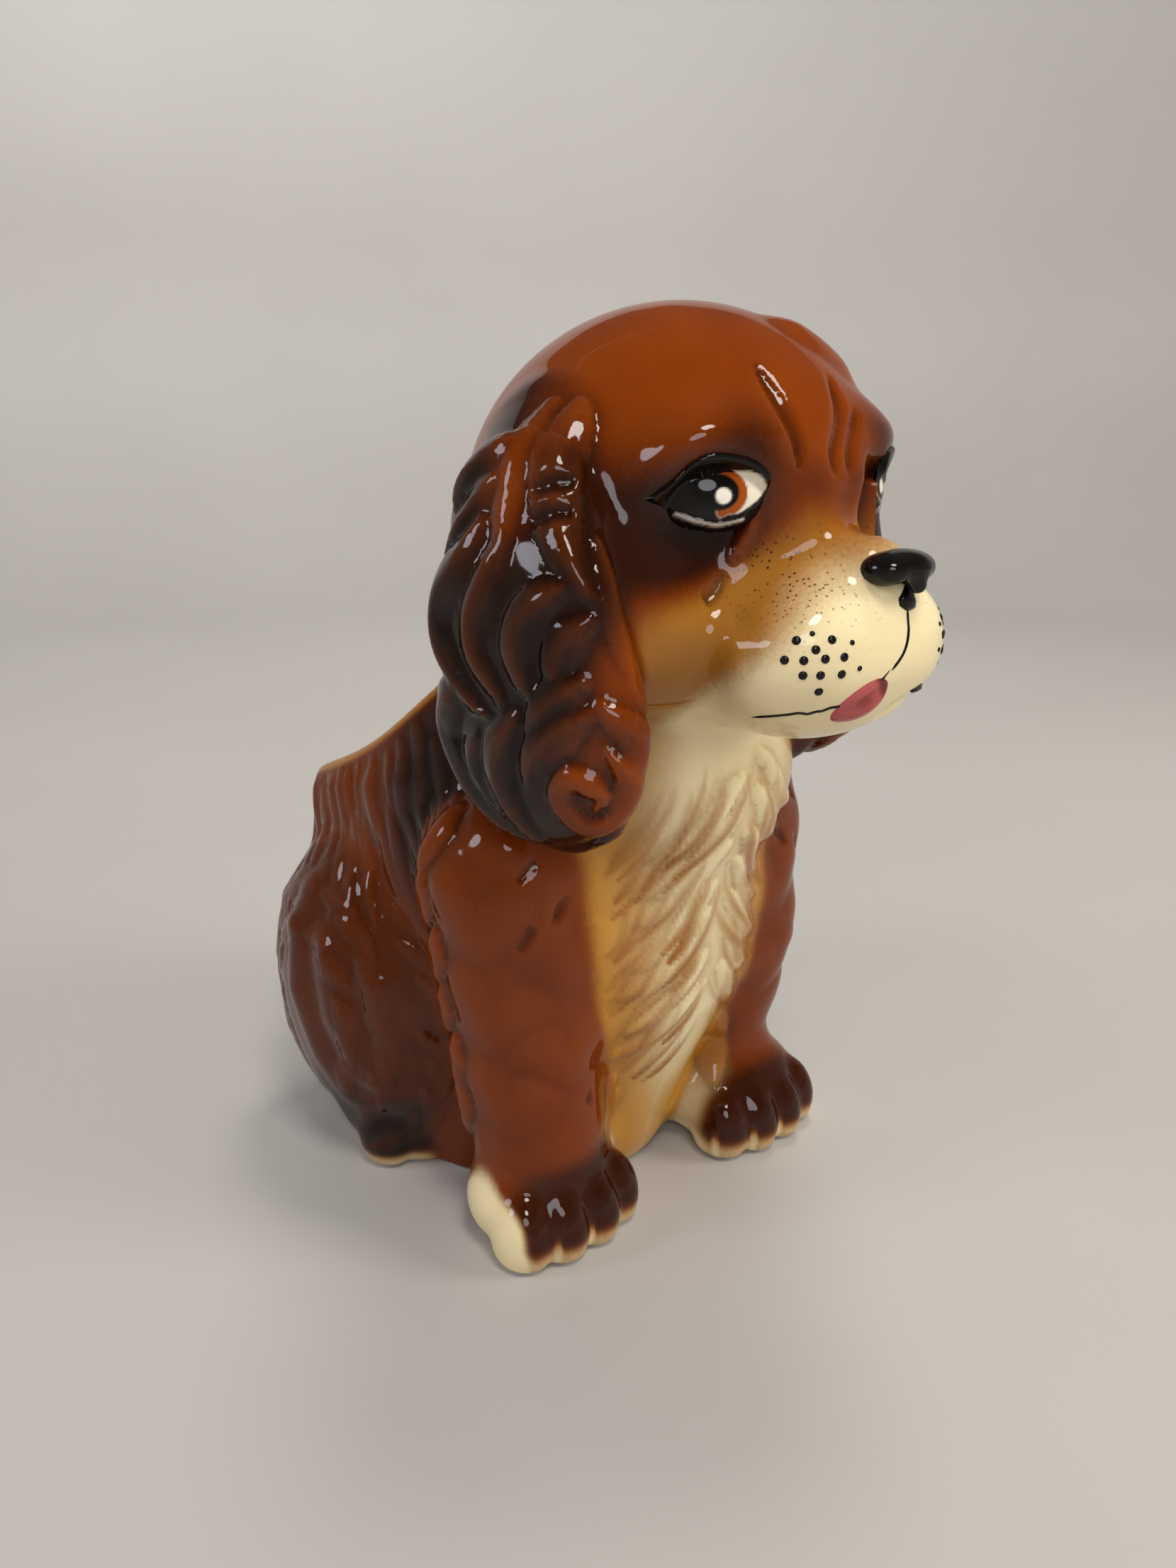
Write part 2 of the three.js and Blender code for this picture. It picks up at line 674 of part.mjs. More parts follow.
// Tail: a short docked stub lying up against the back of the pot
function tail() {
  const onRump = (z) => exit(torso, [0, potCentreY, z], [0, 1, 0], 0);
  const balls = [
    [...onRump(tailRadius), tailRadius],
    [...onRump((tailRadius + tailLength) / 2), (tailRadius + tailTipRadius) / 2],
    [...onRump(tailLength), tailTipRadius],
  ];
  const spine = balls.map((place) => place.slice(0, 3));
  return skin(limb(balls), { spine, ...tailRings })
    .subtract(bodySurface)
    .subtract(below(0));
}

// Assembly: the head and what is laid on it turn together
const head = new THREE.Group();
head.position.set(0, headY, headZ);
head.rotation.z = headTurn;
head.add(mesh("head", headShell(), chestnut));
head.add(mesh("nose", nose(), black));
head.add(mesh("tongue", tongue(), rose));

const figure = new THREE.Group();
figure.add(mesh("body_pot", bodyPot(), sienna));
figure.add(mesh("tail", tail(), umber));
figure.add(head);

for (const [name, side] of [
  ["left", 1],
  ["right", -1],
]) {
  head.add(mesh(`${name}_ear`, ear(side), umber));
  head.add(mesh(`${name}_eye`, eye(side), black));
  figure.add(mesh(`${name}_foreleg`, trimmedForeleg(side), chestnut));
  figure.add(mesh(`${name}_hind_leg`, trimmedHindLeg(side), umber));
}

// The part's origin is under the middle of the figure, on the table top
const box = new THREE.Box3().setFromObject(figure);
const middle = box.getCenter(new THREE.Vector3());
figure.position.set(-middle.x, -middle.y, -box.min.z);

const part = new THREE.Group();
part.add(figure);

export default part;
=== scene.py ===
import math

import bpy
import numpy as np
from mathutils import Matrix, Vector


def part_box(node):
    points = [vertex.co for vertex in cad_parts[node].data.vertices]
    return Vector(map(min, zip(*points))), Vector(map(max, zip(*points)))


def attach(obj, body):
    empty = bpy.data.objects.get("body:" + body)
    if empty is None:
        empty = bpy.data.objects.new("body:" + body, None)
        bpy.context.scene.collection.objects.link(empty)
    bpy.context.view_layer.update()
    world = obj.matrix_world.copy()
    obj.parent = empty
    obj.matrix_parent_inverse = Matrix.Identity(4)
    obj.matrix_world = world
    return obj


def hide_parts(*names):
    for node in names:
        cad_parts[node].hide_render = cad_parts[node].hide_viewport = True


# A seated spaniel puppy, slip cast in white earthenware with an open pot in its back.
# It was airbrushed in browns over cream, lined in black enamel and dipped in clear glaze.
# The sculpt is worked out in mm in the figure's own frame: the dog faces -Y, its left is +X.

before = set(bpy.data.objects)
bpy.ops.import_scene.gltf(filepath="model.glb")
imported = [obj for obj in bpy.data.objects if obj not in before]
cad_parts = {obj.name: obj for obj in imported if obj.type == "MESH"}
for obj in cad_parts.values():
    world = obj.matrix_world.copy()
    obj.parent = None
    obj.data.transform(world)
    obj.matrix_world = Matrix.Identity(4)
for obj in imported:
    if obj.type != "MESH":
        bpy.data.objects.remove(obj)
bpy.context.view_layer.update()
print("frame loaded:", len(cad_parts), "sections")

farAway = -1e3  # depth of a point that lies outside a section's box


def hexLinear(code):
    channels = [int(code[i : i + 2], 16) / 255 for i in (1, 3, 5)]
    linear = [c / 12.92 if c <= 0.04045 else ((c + 0.055) / 1.055) ** 2.4 for c in channels]
    return (*linear, 1.0)


# Forms: each gives the depth of every point inside its surface, in mm

def ellipsoid(p, centre, halves):
    q = (p - np.array(centre)) / np.array(halves)
    share = np.linalg.norm(q, axis=-1)
    slope = np.linalg.norm(q / np.array(halves), axis=-1)
    return share * (1 - share) / np.maximum(slope, 1e-9)


def limb(p, balls):  # a run of balls joined by tapers, each ball as x, y, z, radius
    depth = np.full(len(p), farAway)
    for (x, y, z, r), end in zip(balls, balls[1:]):
        start = np.array((x, y, z))
        run = np.array(end[:3]) - start
        t = np.clip((p - start) @ run / (run @ run), 0, 1)
        gap = np.linalg.norm(p - start - t[:, None] * run, axis=-1)
        depth = np.maximum(depth, r + t * (end[3] - r) - gap)
    return depth


def soften(a, b, width):  # joins two forms with a fillet
    share = np.maximum(width - np.abs(a - b), 0) / width
    return np.maximum(a, b) + share * share * width / 4


def carve(a, b, width):  # takes b out of a and rounds the edge
    return -soften(-a, b, width)


def fuse(width, first, *rest):
    depth = first
    for other in rest:
        depth = soften(depth, other, width)
    return depth


def smoothstep(x, low, high):
    t = np.clip((x - low) / (high - low), 0, 1)
    return t * t * (3 - 2 * t)


def mirrored(place, side):
    return (side * place[0], *place[1:])


# Pot, chest, belly and neck
pot = dict(
    halfWidth=40.5,
    halfLength=39,
    centreY=21,
    squareness=3.4,
    swellZ=56,
    footDraw=8,
    rimDraw=2,
    wall=5,
    luting=4,  # how far the haunches and the tail stay from the hollow
    floor=6,
    hollowHalfLength=20,
    rim=((60, 86), (10, 97), (-13, 128)),  # sweep of the rim from rump to neck, as y and z
    lip=3.2,
    breastGap=0.5,  # how far the hollow stays from the breast
    neckFillet=4,
    chest=((3, -14, 66), (34, 29, 44)),
    belly=((1, -8, 24), (23, 21, 32)),
    neck=((0, -10, 90, 28), (0, -25, 127, 28)),
    ruff=((10, -33, 98), (21, 16, 17)),
    fillet=13,
)

coat = dict(  # broad locks of hair on the pot, leaf-shaped, in staggered rows round it
    pitch=math.radians(19),
    spread=0.64,
    halfLength=18,
    rowDrop=16,
    rise=1.7,
    sweep=math.radians(0.35),
    climb=0.28,
    fade=7,
    end=math.radians(140),
)


def tub(p, centreY, halfLength):
    z = p[:, 2]
    foot = pot["footDraw"] * (1 - smoothstep(z, -pot["swellZ"] / 2, pot["swellZ"]))
    draw = foot + pot["rimDraw"] * smoothstep(z, pot["swellZ"], pot["rim"][2][1])
    a, b, n = pot["halfWidth"] - draw, halfLength - draw, pot["squareness"]
    u, v = np.abs(p[:, 0]) / a, np.abs(p[:, 1] - centreY) / b
    share = np.maximum((u**n + v**n) ** (1 / n), 1e-6)
    slope = np.hypot(u ** (n - 1) / a, v ** (n - 1) / b) / share ** (n - 1)
    return (1 - share) / np.maximum(slope, 1e-6)


def coatRise(p):
    turn = np.abs(np.arctan2(p[:, 0], p[:, 1] - pot["centreY"]))
    drop = pot["rim"][0][1] + coat["climb"] * (pot["rim"][0][0] - p[:, 1]) - p[:, 2]
    row = np.floor(drop / coat["rowDrop"])
    rise = np.zeros(len(p))
    for near in (row - 1, row, row + 1):
        near = np.abs(near)
        place = (turn - coat["sweep"] * drop) / coat["pitch"] - (near % 2) / 2
        across = (place - np.round(place)) / coat["spread"]
        along = (drop - (near + 0.5) * coat["rowDrop"]) / coat["halfLength"]
        rise = np.maximum(rise, 1 - across**2 - along**2)
    ends = smoothstep(drop, 0, coat["fade"]) * smoothstep(p[:, 2], 0, 2 * coat["fade"])
    sides = 1 - smoothstep(turn, coat["end"] - 2 * coat["pitch"], coat["end"])
    return coat["rise"] * rise * ends * sides


def rimLine():
    t = np.linspace(1, 0, 40)[:, None]
    a, b, c = (np.array(point, float) for point in pot["rim"])
    return (1 - t) ** 2 * a + 2 * t * (1 - t) * b + t * t * c


def underRim(p):
    y, z = rimLine().T
    rise = np.interp(p[:, 1], y, np.gradient(z, y))
    return (np.interp(p[:, 1], y, z) - p[:, 2]) / np.hypot(1, rise)


def front(p):
    chest = ellipsoid(p, *pot["chest"])
    ruff = ellipsoid(p, *pot["ruff"])
    return fuse(pot["fillet"], chest, ellipsoid(p, *pot["belly"]), limb(p, pot["neck"]), ruff)


def plantingHollow(p, breast):
    middle = pot["centreY"] + pot["halfLength"] - pot["wall"] - pot["hollowHalfLength"]
    sides = tub(p, middle, pot["hollowHalfLength"] + pot["wall"]) - pot["wall"]
    return np.minimum(np.minimum(sides, -breast - pot["breastGap"]), p[:, 2] - pot["floor"])


def clearOfHollow(p, depth):  # what is luted on from outside reaches into the pot's wall, but not through it
    return carve(depth, plantingHollow(p, front(p)) + pot["luting"], pot["lip"])


def bodyForm(p):
    breast = front(p)
    shell = tub(p, pot["centreY"], pot["halfLength"]) + coatRise(p)
    torso = soften(shell, breast, pot["fillet"])
    depth = soften(carve(torso, -underRim(p), pot["lip"]), breast, pot["neckFillet"])
    return carve(depth, plantingHollow(p, breast), pot["lip"])


# Head, in its own frame: x to the dog's left, -y ahead, z up
head = dict(
    place=(0, -36, 149),
    turn=math.radians(2),
    skull=((1.5, 2.5, 0), (40, 40, 38.5)),
    muzzle=((0, -29.5, -18), (21, 22, 15)),
    bridge=((0, -29.5, -3, 6.5), (0, -42.5, -5.5, 6.5)),
    chin=((0, -26.5, -25.5), (16, 18.5, 9)),
    pad=((10, -36.5, -18), (12.5, 12.5, 11.5)),
    cheek=((22, -10, -14), (18, 18, 18)),
    brow=((17.2, -24.3, 11.5), (11, 8, 8.5)),
    socketRadius=13,
    socketDepth=5.5,
    socketTurn=math.radians(36),
    socketLift=math.radians(2),
    eyeTurn=math.radians(37),
    eyeLift=math.radians(12),
    fillet=6,
)


def turned(p, angle):
    c, s = math.cos(angle), math.sin(angle)
    return np.stack([c * p[:, 0] - s * p[:, 1], s * p[:, 0] + c * p[:, 1], p[:, 2]], -1)


def intoHead(p):
    return turned(p - np.array(head["place"]), -head["turn"])


def fromHead(q):
    return turned(np.asarray(q, float), head["turn"]) + np.array(head["place"])


def axisTo(side, what):
    turn, lift = head[what + "Turn"], head[what + "Lift"]
    flat = math.cos(lift)
    return np.array((side * math.sin(turn) * flat, -math.cos(turn) * flat, math.sin(lift)))


def eyeAxis(side):
    return axisTo(side, "eye")


def skullReach(direction):  # how far the skull's surface lies from the head's middle
    centre, halves = (np.array(v, float) for v in head["skull"])
    q, d = -centre / halves, np.array(direction) / halves
    return (-(q @ d) + math.sqrt((q @ d) ** 2 - (d @ d) * (q @ q - 1))) / (d @ d)


def headForm(p):
    q = intoHead(p)
    forms = [ellipsoid(q, *head[name]) for name in ("skull", "muzzle", "chin")]
    forms.append(limb(q, head["bridge"]))
    for side in (-1, 1):
        for name in ("pad", "cheek", "brow"):
            place, halves = head[name]
            forms.append(ellipsoid(q, mirrored(place, side), halves))
    depth = fuse(head["fillet"], *forms)
    for side in (-1, 1):
        r = head["socketRadius"]
        axis = axisTo(side, "socket")
        centre = axis * (skullReach(axis) + r - head["socketDepth"])
        depth = carve(depth, ellipsoid(q, centre, (r, r, r)), head["fillet"])
    return depth


# Ears: long leathers laid against cheek, neck and shoulder
ears = dict(
    halfWidth=24,
    thickness=20,
    rootZ=22,
    swing={-1: -5, 1: 13},  # the right ear's tip hangs forward, the left one's back
    length={-1: 73, 1: 75},
    spread=39,
    profile=(  # tip to root: out, forward, down and wide, as shares
        (0.92, 0.12, 0.8, 0.76),
        (1, 0.1, 0.69, 1),
        (1.03, 0.03, 0.52, 0.93),
        (0.95, -0.06, 0.33, 0.78),
        (0.76, -0.1, 0.15, 0.52),
    ),
)


def earForm(p, side):
    share = ears["thickness"] / (2 * ears["halfWidth"])
    balls = []
    for out, forward, drop, wide in ears["profile"]:
        y = ears["swing"][side] * drop - forward * ears["halfWidth"]
        z = ears["rootZ"] - ears["length"][side] * drop
        balls.append((side * ears["spread"] * out / share, y, z, ears["halfWidth"] * wide))
    return limb(intoHead(p) / (share, 1, 1), balls) * share


# Legs and paws
legs = dict(
    leanX=3,
    shoulder=(31, -18, 80, 17.5),
    wrist=(29.5, -24, 26, 14.5),
    slimWrist=(29.5, -20.7, 26, 12),  # the left leg above its paw
    paw=dict(forward=2, halves=(17.5, 18), height=23),
    haunch=((36, 26, 40), (19, 31, 36)),
    rollRadius=7,
    rollRise=1.7,
    rollFillet=2.5,
    rolls=(  # rolls of hair down the haunch: back from its middle and up from it
        ((12, 31), (23, 18), (27, 2), (21, -16), (10, -28)),
        ((1, 33), (4, 18), (1, 4), (-6, -10), (-11, -20)),
        ((-12, 29), (-10, 15), (-14, 2), (-19, -10)),
        ((-22, 22), (-23, 12), (-28, 2)),
    ),
    hindPaw=dict(place=(32, 22), halves=(14, 17), height=20),
    pawMiddle=0.42,
    toeSet=3.7,
    toe=(6.2, 7.5, 9.5),
    toeFan=math.radians(112),
    toeCount=4,
    toeFillet=1.6,
    fillet=6,
)


def pawForm(p, place, halves, height):
    sizes = (halves[0], halves[1] - legs["toeSet"], height * (1 - legs["pawMiddle"]))
    depth = ellipsoid(p, (*place, height * legs["pawMiddle"]), sizes)
    for i in range(legs["toeCount"]):
        turn = ((i + 0.5) / legs["toeCount"] - 0.5) * legs["toeFan"]
        x = place[0] + halves[0] * math.sin(turn)
        y = place[1] - (halves[1] - 2 * legs["toeSet"]) * math.cos(turn)
        depth = soften(depth, ellipsoid(p, (x, y, legs["toe"][0]), legs["toe"]), legs["toeFillet"])
    return depth


def legLine(side):  # from wrist to shoulder, as x, y, z, radius
    lean = np.array((legs["leanX"], 0, 0, 0))
    return [lean + mirrored(legs[name], side) for name in ("wrist", "shoulder")]


def forelegForm(p, side):
    wrist, shoulder = legLine(side)
    ankle = np.array((legs["leanX"], 0, 0, 0)) + legs["slimWrist"] if side > 0 else wrist
    upright = limb(p, (ankle, (wrist + shoulder) / 2, shoulder))
    place = (wrist[0], wrist[1] - legs["paw"]["forward"])
    return soften(upright, pawForm(p, place, legs["paw"]["halves"], legs["paw"]["height"]), legs["fillet"])


def haunchRoll(side, points):
    place, halves = (np.array(v, float) for v in legs["haunch"])
    balls = []
    for i, (back, up) in enumerate(points):
        out = math.sqrt(max(0, 1 - (back / halves[1]) ** 2 - (up / halves[2]) ** 2))
        surface = np.array((side * halves[0] * out, back, up))
        normal = surface / halves**2
        normal /= np.linalg.norm(normal)
        full = math.sin(math.pi * (i + 0.5) / len(points))
        centre = surface + normal * (legs["rollRise"] * full - legs["rollRadius"])
        balls.append((*(centre + mirrored(place, side)), legs["rollRadius"]))
    return balls


def hindLegForm(p, side):
    place, halves = legs["haunch"]
    paw = legs["hindPaw"]
    haunch = ellipsoid(p, mirrored(place, side), halves)
    for points in legs["rolls"]:
        haunch = soften(haunch, limb(p, haunchRoll(side, points)), legs["rollFillet"])
    foot = pawForm(p, mirrored(paw["place"], side), paw["halves"], paw["height"])
    return clearOfHollow(p, soften(haunch, foot, legs["fillet"]))


tail = dict(balls=((0, 55.5, 8, 8), (0, 58, 21, 6.8), (0, 59.2, 34, 5.6)))


def tailForm(p):
    return clearOfHollow(p, limb(p, tail["balls"]))


# The clay sections, each with its fillet to what carries it, the box that holds it and its finish
footRound = 2.5
sections = {
    "body_pot": dict(form=bodyForm, fillet=0, low=(-56, -58, -45), high=(56, 72, 175), slot="sienna_glaze"),
    "head": dict(form=headForm, fillet=8, low=(-52, -100, 98), high=(54, 20, 200), slot="chestnut_glaze"),
    "tail": dict(form=tailForm, fillet=4, low=(-20, 40, -10), high=(20, 80, 50), slot="umber_glaze"),
}
for sideName, side in (("left", 1), ("right", -1)):
    for part, form, fillet, slot, near, far in (
        ("ear", earForm, 3, "umber_glaze", (10, -82, 80), (68, 12, 190)),
        ("foreleg", forelegForm, 6, "chestnut_glaze", (-2, -62, -10), (66, 12, 112)),
        ("hind_leg", hindLegForm, 5, "umber_glaze", (4, -14, -16), (68, 70, 90)),
    ):
        sections[f"{sideName}_{part}"] = dict(
            form=lambda p, form=form, side=side: form(p, side),
            fillet=fillet,
            slot=slot,
            low=(near[0] if side > 0 else -far[0], *near[1:]),
            high=(far[0] if side > 0 else -near[0], *far[1:]),
        )


def sectionForm(side, part):
    return sections[("left_" if side > 0 else "right_") + part]["form"]


def sectionDepths(p):
    depths = {}
    for name, section in sections.items():
        inside = np.all((p > section["low"]) & (p < section["high"]), axis=1)
        depths[name] = np.full(len(p), farAway)
        if inside.any():
            depths[name][inside] = section["form"](p[inside])
    return depths


def joined(p, depths):
    depth = depths["body_pot"]
    for name, section in sections.items():
        if section["fillet"]:
            depth = soften(depth, depths[name], section["fillet"])
    return carve(depth, -p[:, 2], footRound)


def clay(p):
    return joined(p, sectionDepths(p))


# Turning a form into a mesh: a net of quads over the cells that its surface crosses

def sampled(form, low, high, step, coarse=4):
    low, high = np.array(low, float), np.array(high, float)
    count = np.ceil((high - low) / (step * coarse)).astype(int)
    wide = step * coarse
    axes = [low[i] + wide * (np.arange(count[i]) + 0.5) for i in range(3)]
    middles = np.stack(np.meshgrid(*axes, indexing="ij"), -1)
    rough = form(middles.reshape(-1, 3)).reshape(count)
    grid = np.pad(rough, ((0, 1),) * 3, mode="edge")
    grid = grid.repeat(coarse, 0).repeat(coarse, 1).repeat(coarse, 2)
    grid = grid[tuple(slice(0, n * coarse + 1) for n in count)].astype(np.float32)
    wanted = np.zeros(grid.shape, bool)
    cells = np.argwhere(np.abs(rough) < wide * 1.3) * coarse
    for offset in np.ndindex(coarse + 1, coarse + 1, coarse + 1):
        wanted[tuple((cells + offset).T)] = True
    places = np.argwhere(wanted)
    batch = 200000
    for i in range(0, len(places), batch):
        part = places[i : i + batch]
        grid[tuple(part.T)] = form(low + step * part)
    return grid, low


def netted(form, low, high, step):
    grid, low = sampled(form, low, high, step)
    inside = grid > 0
    corners = np.array(list(np.ndindex(2, 2, 2)))
    size = np.array(grid.shape) - 1
    full = np.zeros(size, np.int8)
    for i, j, k in corners:
        full += inside[i : size[0] + i, j : size[1] + j, k : size[2] + k]
    crossed = (full > 0) & (full < 8)
    cells = np.argwhere(crossed)
    index = np.full(size, -1)
    index[crossed] = np.arange(len(cells))
    total, hits = np.zeros((len(cells), 3)), np.zeros(len(cells))
    values = [grid[tuple((cells + corner).T)] for corner in corners]
    for a in range(8):
        for b in range(a + 1, 8):
            if np.abs(corners[a] - corners[b]).sum() != 1:
                continue
            cut = (values[a] > 0) != (values[b] > 0)
            t = values[a][cut] / (values[a][cut] - values[b][cut])
            total[cut] += corners[a] + t[:, None] * (corners[b] - corners[a])
            hits[cut] += 1
    points = low + step * (cells + total / hits[:, None])
    faces = []
    for axis in range(3):
        u, v = (axis + 1) % 3, (axis + 2) % 3
        first = np.take(inside, range(size[axis]), axis)
        second = np.take(inside, range(1, size[axis] + 1), axis)
        edges = np.argwhere(first != second)
        place = edges[:, [u, v]]
        edges = edges[np.all((place > 0) & (place < size[[u, v]]), axis=1)]
        ring = []
        for du, dv in ((-1, -1), (0, -1), (0, 0), (-1, 0)):
            cell = edges.copy()
            cell[:, u] += du
            cell[:, v] += dv
            ring.append(index[tuple(cell.T)])
        quads = np.stack(ring, 1)
        flip = ~first[tuple(edges.T)]
        quads[flip] = quads[flip][:, ::-1]
        faces.append(quads)
    return points, np.concatenate(faces)


def slopes(form, p, reach=0.05):
    slope = np.empty_like(p)
    for axis in range(3):
        step = np.zeros(3)
        step[axis] = reach
        slope[:, axis] = (form(p + step) - form(p - step)) / (2 * reach)
    return slope


def settled(form, p, rounds=2):  # brings points onto a surface
    for _ in range(rounds):
        slope = slopes(form, p)
        square = np.maximum((slope**2).sum(1), 0.05)
        p = p - slope * np.clip(form(p) / square, -3, 3)[:, None]
    return p


def outward(form, p):
    slope = slopes(form, p)
    return -slope / np.maximum(np.linalg.norm(slope, axis=1), 1e-9)[:, None]


def cast(origins, direction, reach, form=clay, steps=70):
    # the first point of the surface along each ray, or its nearest point where the ray misses
    t = np.linspace(0, reach, steps)
    ray = origins[:, None, :] + t[None, :, None] * direction[:, None, :]
    depth = form(ray.reshape(-1, 3)).reshape(len(origins), steps)
    entry = np.where((depth > 0).any(1), (depth > 0).argmax(1), depth.argmax(1))
    return settled(form, ray[np.arange(len(origins)), entry], 5)


# Charts: where a point drawn flat on a piece, in mm or degrees, lies on the clay

charts = dict(  # how far out the rays of each chart start, and how far they run
    ear=(72, 48),
    face=(75, 70),
    side=(80, 70),
    rear=(90, 60),
    breast=(75, 70),
    foreleg=(45, 44),
)


def onEar(side, points):
    p = np.asarray(points, float)
    start, reach = charts["ear"]
    drop = p[:, 1] / ears["length"][-1]
    y = (ears["swing"][side] - ears["swing"][-1]) * np.clip(drop, 0, 1) - p[:, 0]
    q = np.stack([np.full(len(p), float(side * start)), y, ears["rootZ"] - ears["length"][side] * drop], -1)
    way = fromHead(q - (side, 0, 0)) - fromHead(q)
    return cast(fromHead(q), way, reach, sectionForm(side, "ear"))


def onFace(points):  # degrees from straight ahead, and mm above the head's middle
    p = np.asarray(points, float)
    start, reach = charts["face"]
    angle = np.radians(p[:, 0])
    ray = np.stack([np.sin(angle), -np.cos(angle), np.zeros(len(p))], -1)
    q = ray * start + np.stack([np.zeros(len(p)), np.zeros(len(p)), p[:, 1]], -1)
    return cast(fromHead(q), fromHead(q - ray) - fromHead(q), reach, headForm)


def onWall(axis, sign, points, chart, form=clay):  # rays along one axis, drawn on as the other two
    start, reach = charts[chart]
    origins = np.insert(np.asarray(points, float), axis, sign * start, axis=1)
    way = np.zeros_like(origins)
    way[:, axis] = -sign
    return cast(origins, way, reach, form)


def onSide(side, points, form=clay):
    return onWall(0, side, points, "side", form)


def onRear(points):
    return onWall(1, 1, points, "rear")


def onBreast(points):
    return onWall(1, -1, points, "breast", bodyForm)


def onForeleg(side, points):  # degrees round the leg from straight ahead outwards, and height
    p = np.asarray(points, float)
    start, reach = charts["foreleg"]
    wrist, shoulder = legLine(side)
    t = (p[:, 1] - wrist[2]) / (shoulder[2] - wrist[2])
    middle = wrist[:3] + t[:, None] * (shoulder - wrist)[:3]
    middle[:, 2] = p[:, 1]
    angle = np.radians(p[:, 0])
    ray = np.stack([side * np.sin(angle), -np.cos(angle), np.zeros(len(p))], -1)
    return cast(middle + ray * start, -ray, reach, sectionForm(side, "foreleg"))


# Hair: locks of clay laid on the surface, each a curve with a width and a height

def eased(points, spacing=0.8):  # a smooth curve through the points, evenly stepped
    p = np.asarray(points, float)
    if len(p) > 2:
        ends = np.concatenate([[2 * p[0] - p[1]], p, [2 * p[-1] - p[-2]]])
        t = np.linspace(0, 1, 12, endpoint=False)[:, None]
        runs = []
        for a, b, c, d in zip(ends, ends[1:], ends[2:], ends[3:]):
            bend = (2 * a - 5 * b + 4 * c - d) * t**2 + (3 * b - a - 3 * c + d) * t**3
            runs.append(0.5 * (2 * b + (c - a) * t + bend))
        p = np.concatenate([*runs, p[-1:]])
    length = np.concatenate([[0], np.cumsum(np.linalg.norm(np.diff(p, axis=0), axis=1))])
    at = np.linspace(0, length[-1], max(4, int(length[-1] / spacing)))
    return np.stack([np.interp(at, length, values) for values in p.T], -1)


shapes = dict(  # width along a lock from root to tip, and how full its crown is
    leaf=(lambda t: np.sqrt(np.maximum(4 * t * (1 - t), 0)) * (1 - 0.25 * t), 0.75),
    tuft=(lambda t: np.minimum(1, 0.45 + 2.5 * t) * np.maximum(1 - t**2.4, 0) ** 0.8, 0.75),
    roll=(lambda t: np.minimum(1, 6 * t + 0.2) * np.minimum(1, 6 * (1 - t) + 0.2), 0.75),
    fold=(lambda t: np.sqrt(np.maximum(np.sin(math.pi * t), 0)), 2.0),
    swell=(lambda t: np.ones_like(t), 2.0),
)


combing = dict(
    strandDepth=0.08,  # grooves between the strands of a lock, as a share of its rise
    margin=1.6,  # how far from a lock's line it can reach, in half widths
    finest=0.15,  # least half width at a lock's ends
    tipShare=0.25,
    brushEdge=1.25,  # how far past a lock its brush stroke spreads
    brushFullness=0.7,
    dryness=0.75,  # how much of its colour the brush has lost at the tip
)


def lock(points, halfWidth, rise, shape="leaf", strands=0, stroke=0.0):
    line = eased(points)
    return dict(line=line, halfWidth=halfWidth, rise=rise, shape=shape, strands=strands, stroke=stroke)


def combed(points, normals, locks):  # how far the locks raise each point, and the brush strokes on them
    rise, strokes = np.zeros(len(points)), np.zeros(len(points))
    for one in locks:
        line, wide = one["line"], one["halfWidth"]
        reach = combing["margin"] * wide
        low, high = line.min(0) - reach, line.max(0) + reach
        near = np.where(np.all((points > low) & (points < high), axis=1))[0]
        if not len(near):
            continue
        widthAt, crown = shapes[one["shape"]]
        away = points[near][:, None, :] - line[None]
        gap = np.linalg.norm(away, axis=2)
        nearest = gap.argmin(1)
        along = nearest / (len(line) - 1)
        local = np.maximum(wide * widthAt(along), combing["finest"])
        share = gap[np.arange(len(near)), nearest] / local
        inside = np.maximum(1 - share**2, 0)
        height = one["rise"] * inside**crown * np.minimum(1, local / wide + combing["tipShare"])
        if one["strands"]:
            ahead = np.gradient(line, axis=0)[nearest]
            across = np.cross(ahead, normals[near])
            signed = share * np.sign((across * away[np.arange(len(near)), nearest]).sum(1))
            comb = 1 - np.cos(np.pi * one["strands"] * signed)
            height = height - combing["strandDepth"] * one["rise"] * inside * comb
        if one["rise"] >= 0:
            rise[near] = np.maximum(rise[near], height)
        else:
            rise[near] += height
        colour = np.clip(combing["brushEdge"] - share, 0, 1) ** combing["brushFullness"]
        stroke = one["stroke"] * (1 - combing["dryness"] * along) * colour
        strokes[near] = np.maximum(strokes[near], stroke)
    return rise, strokes


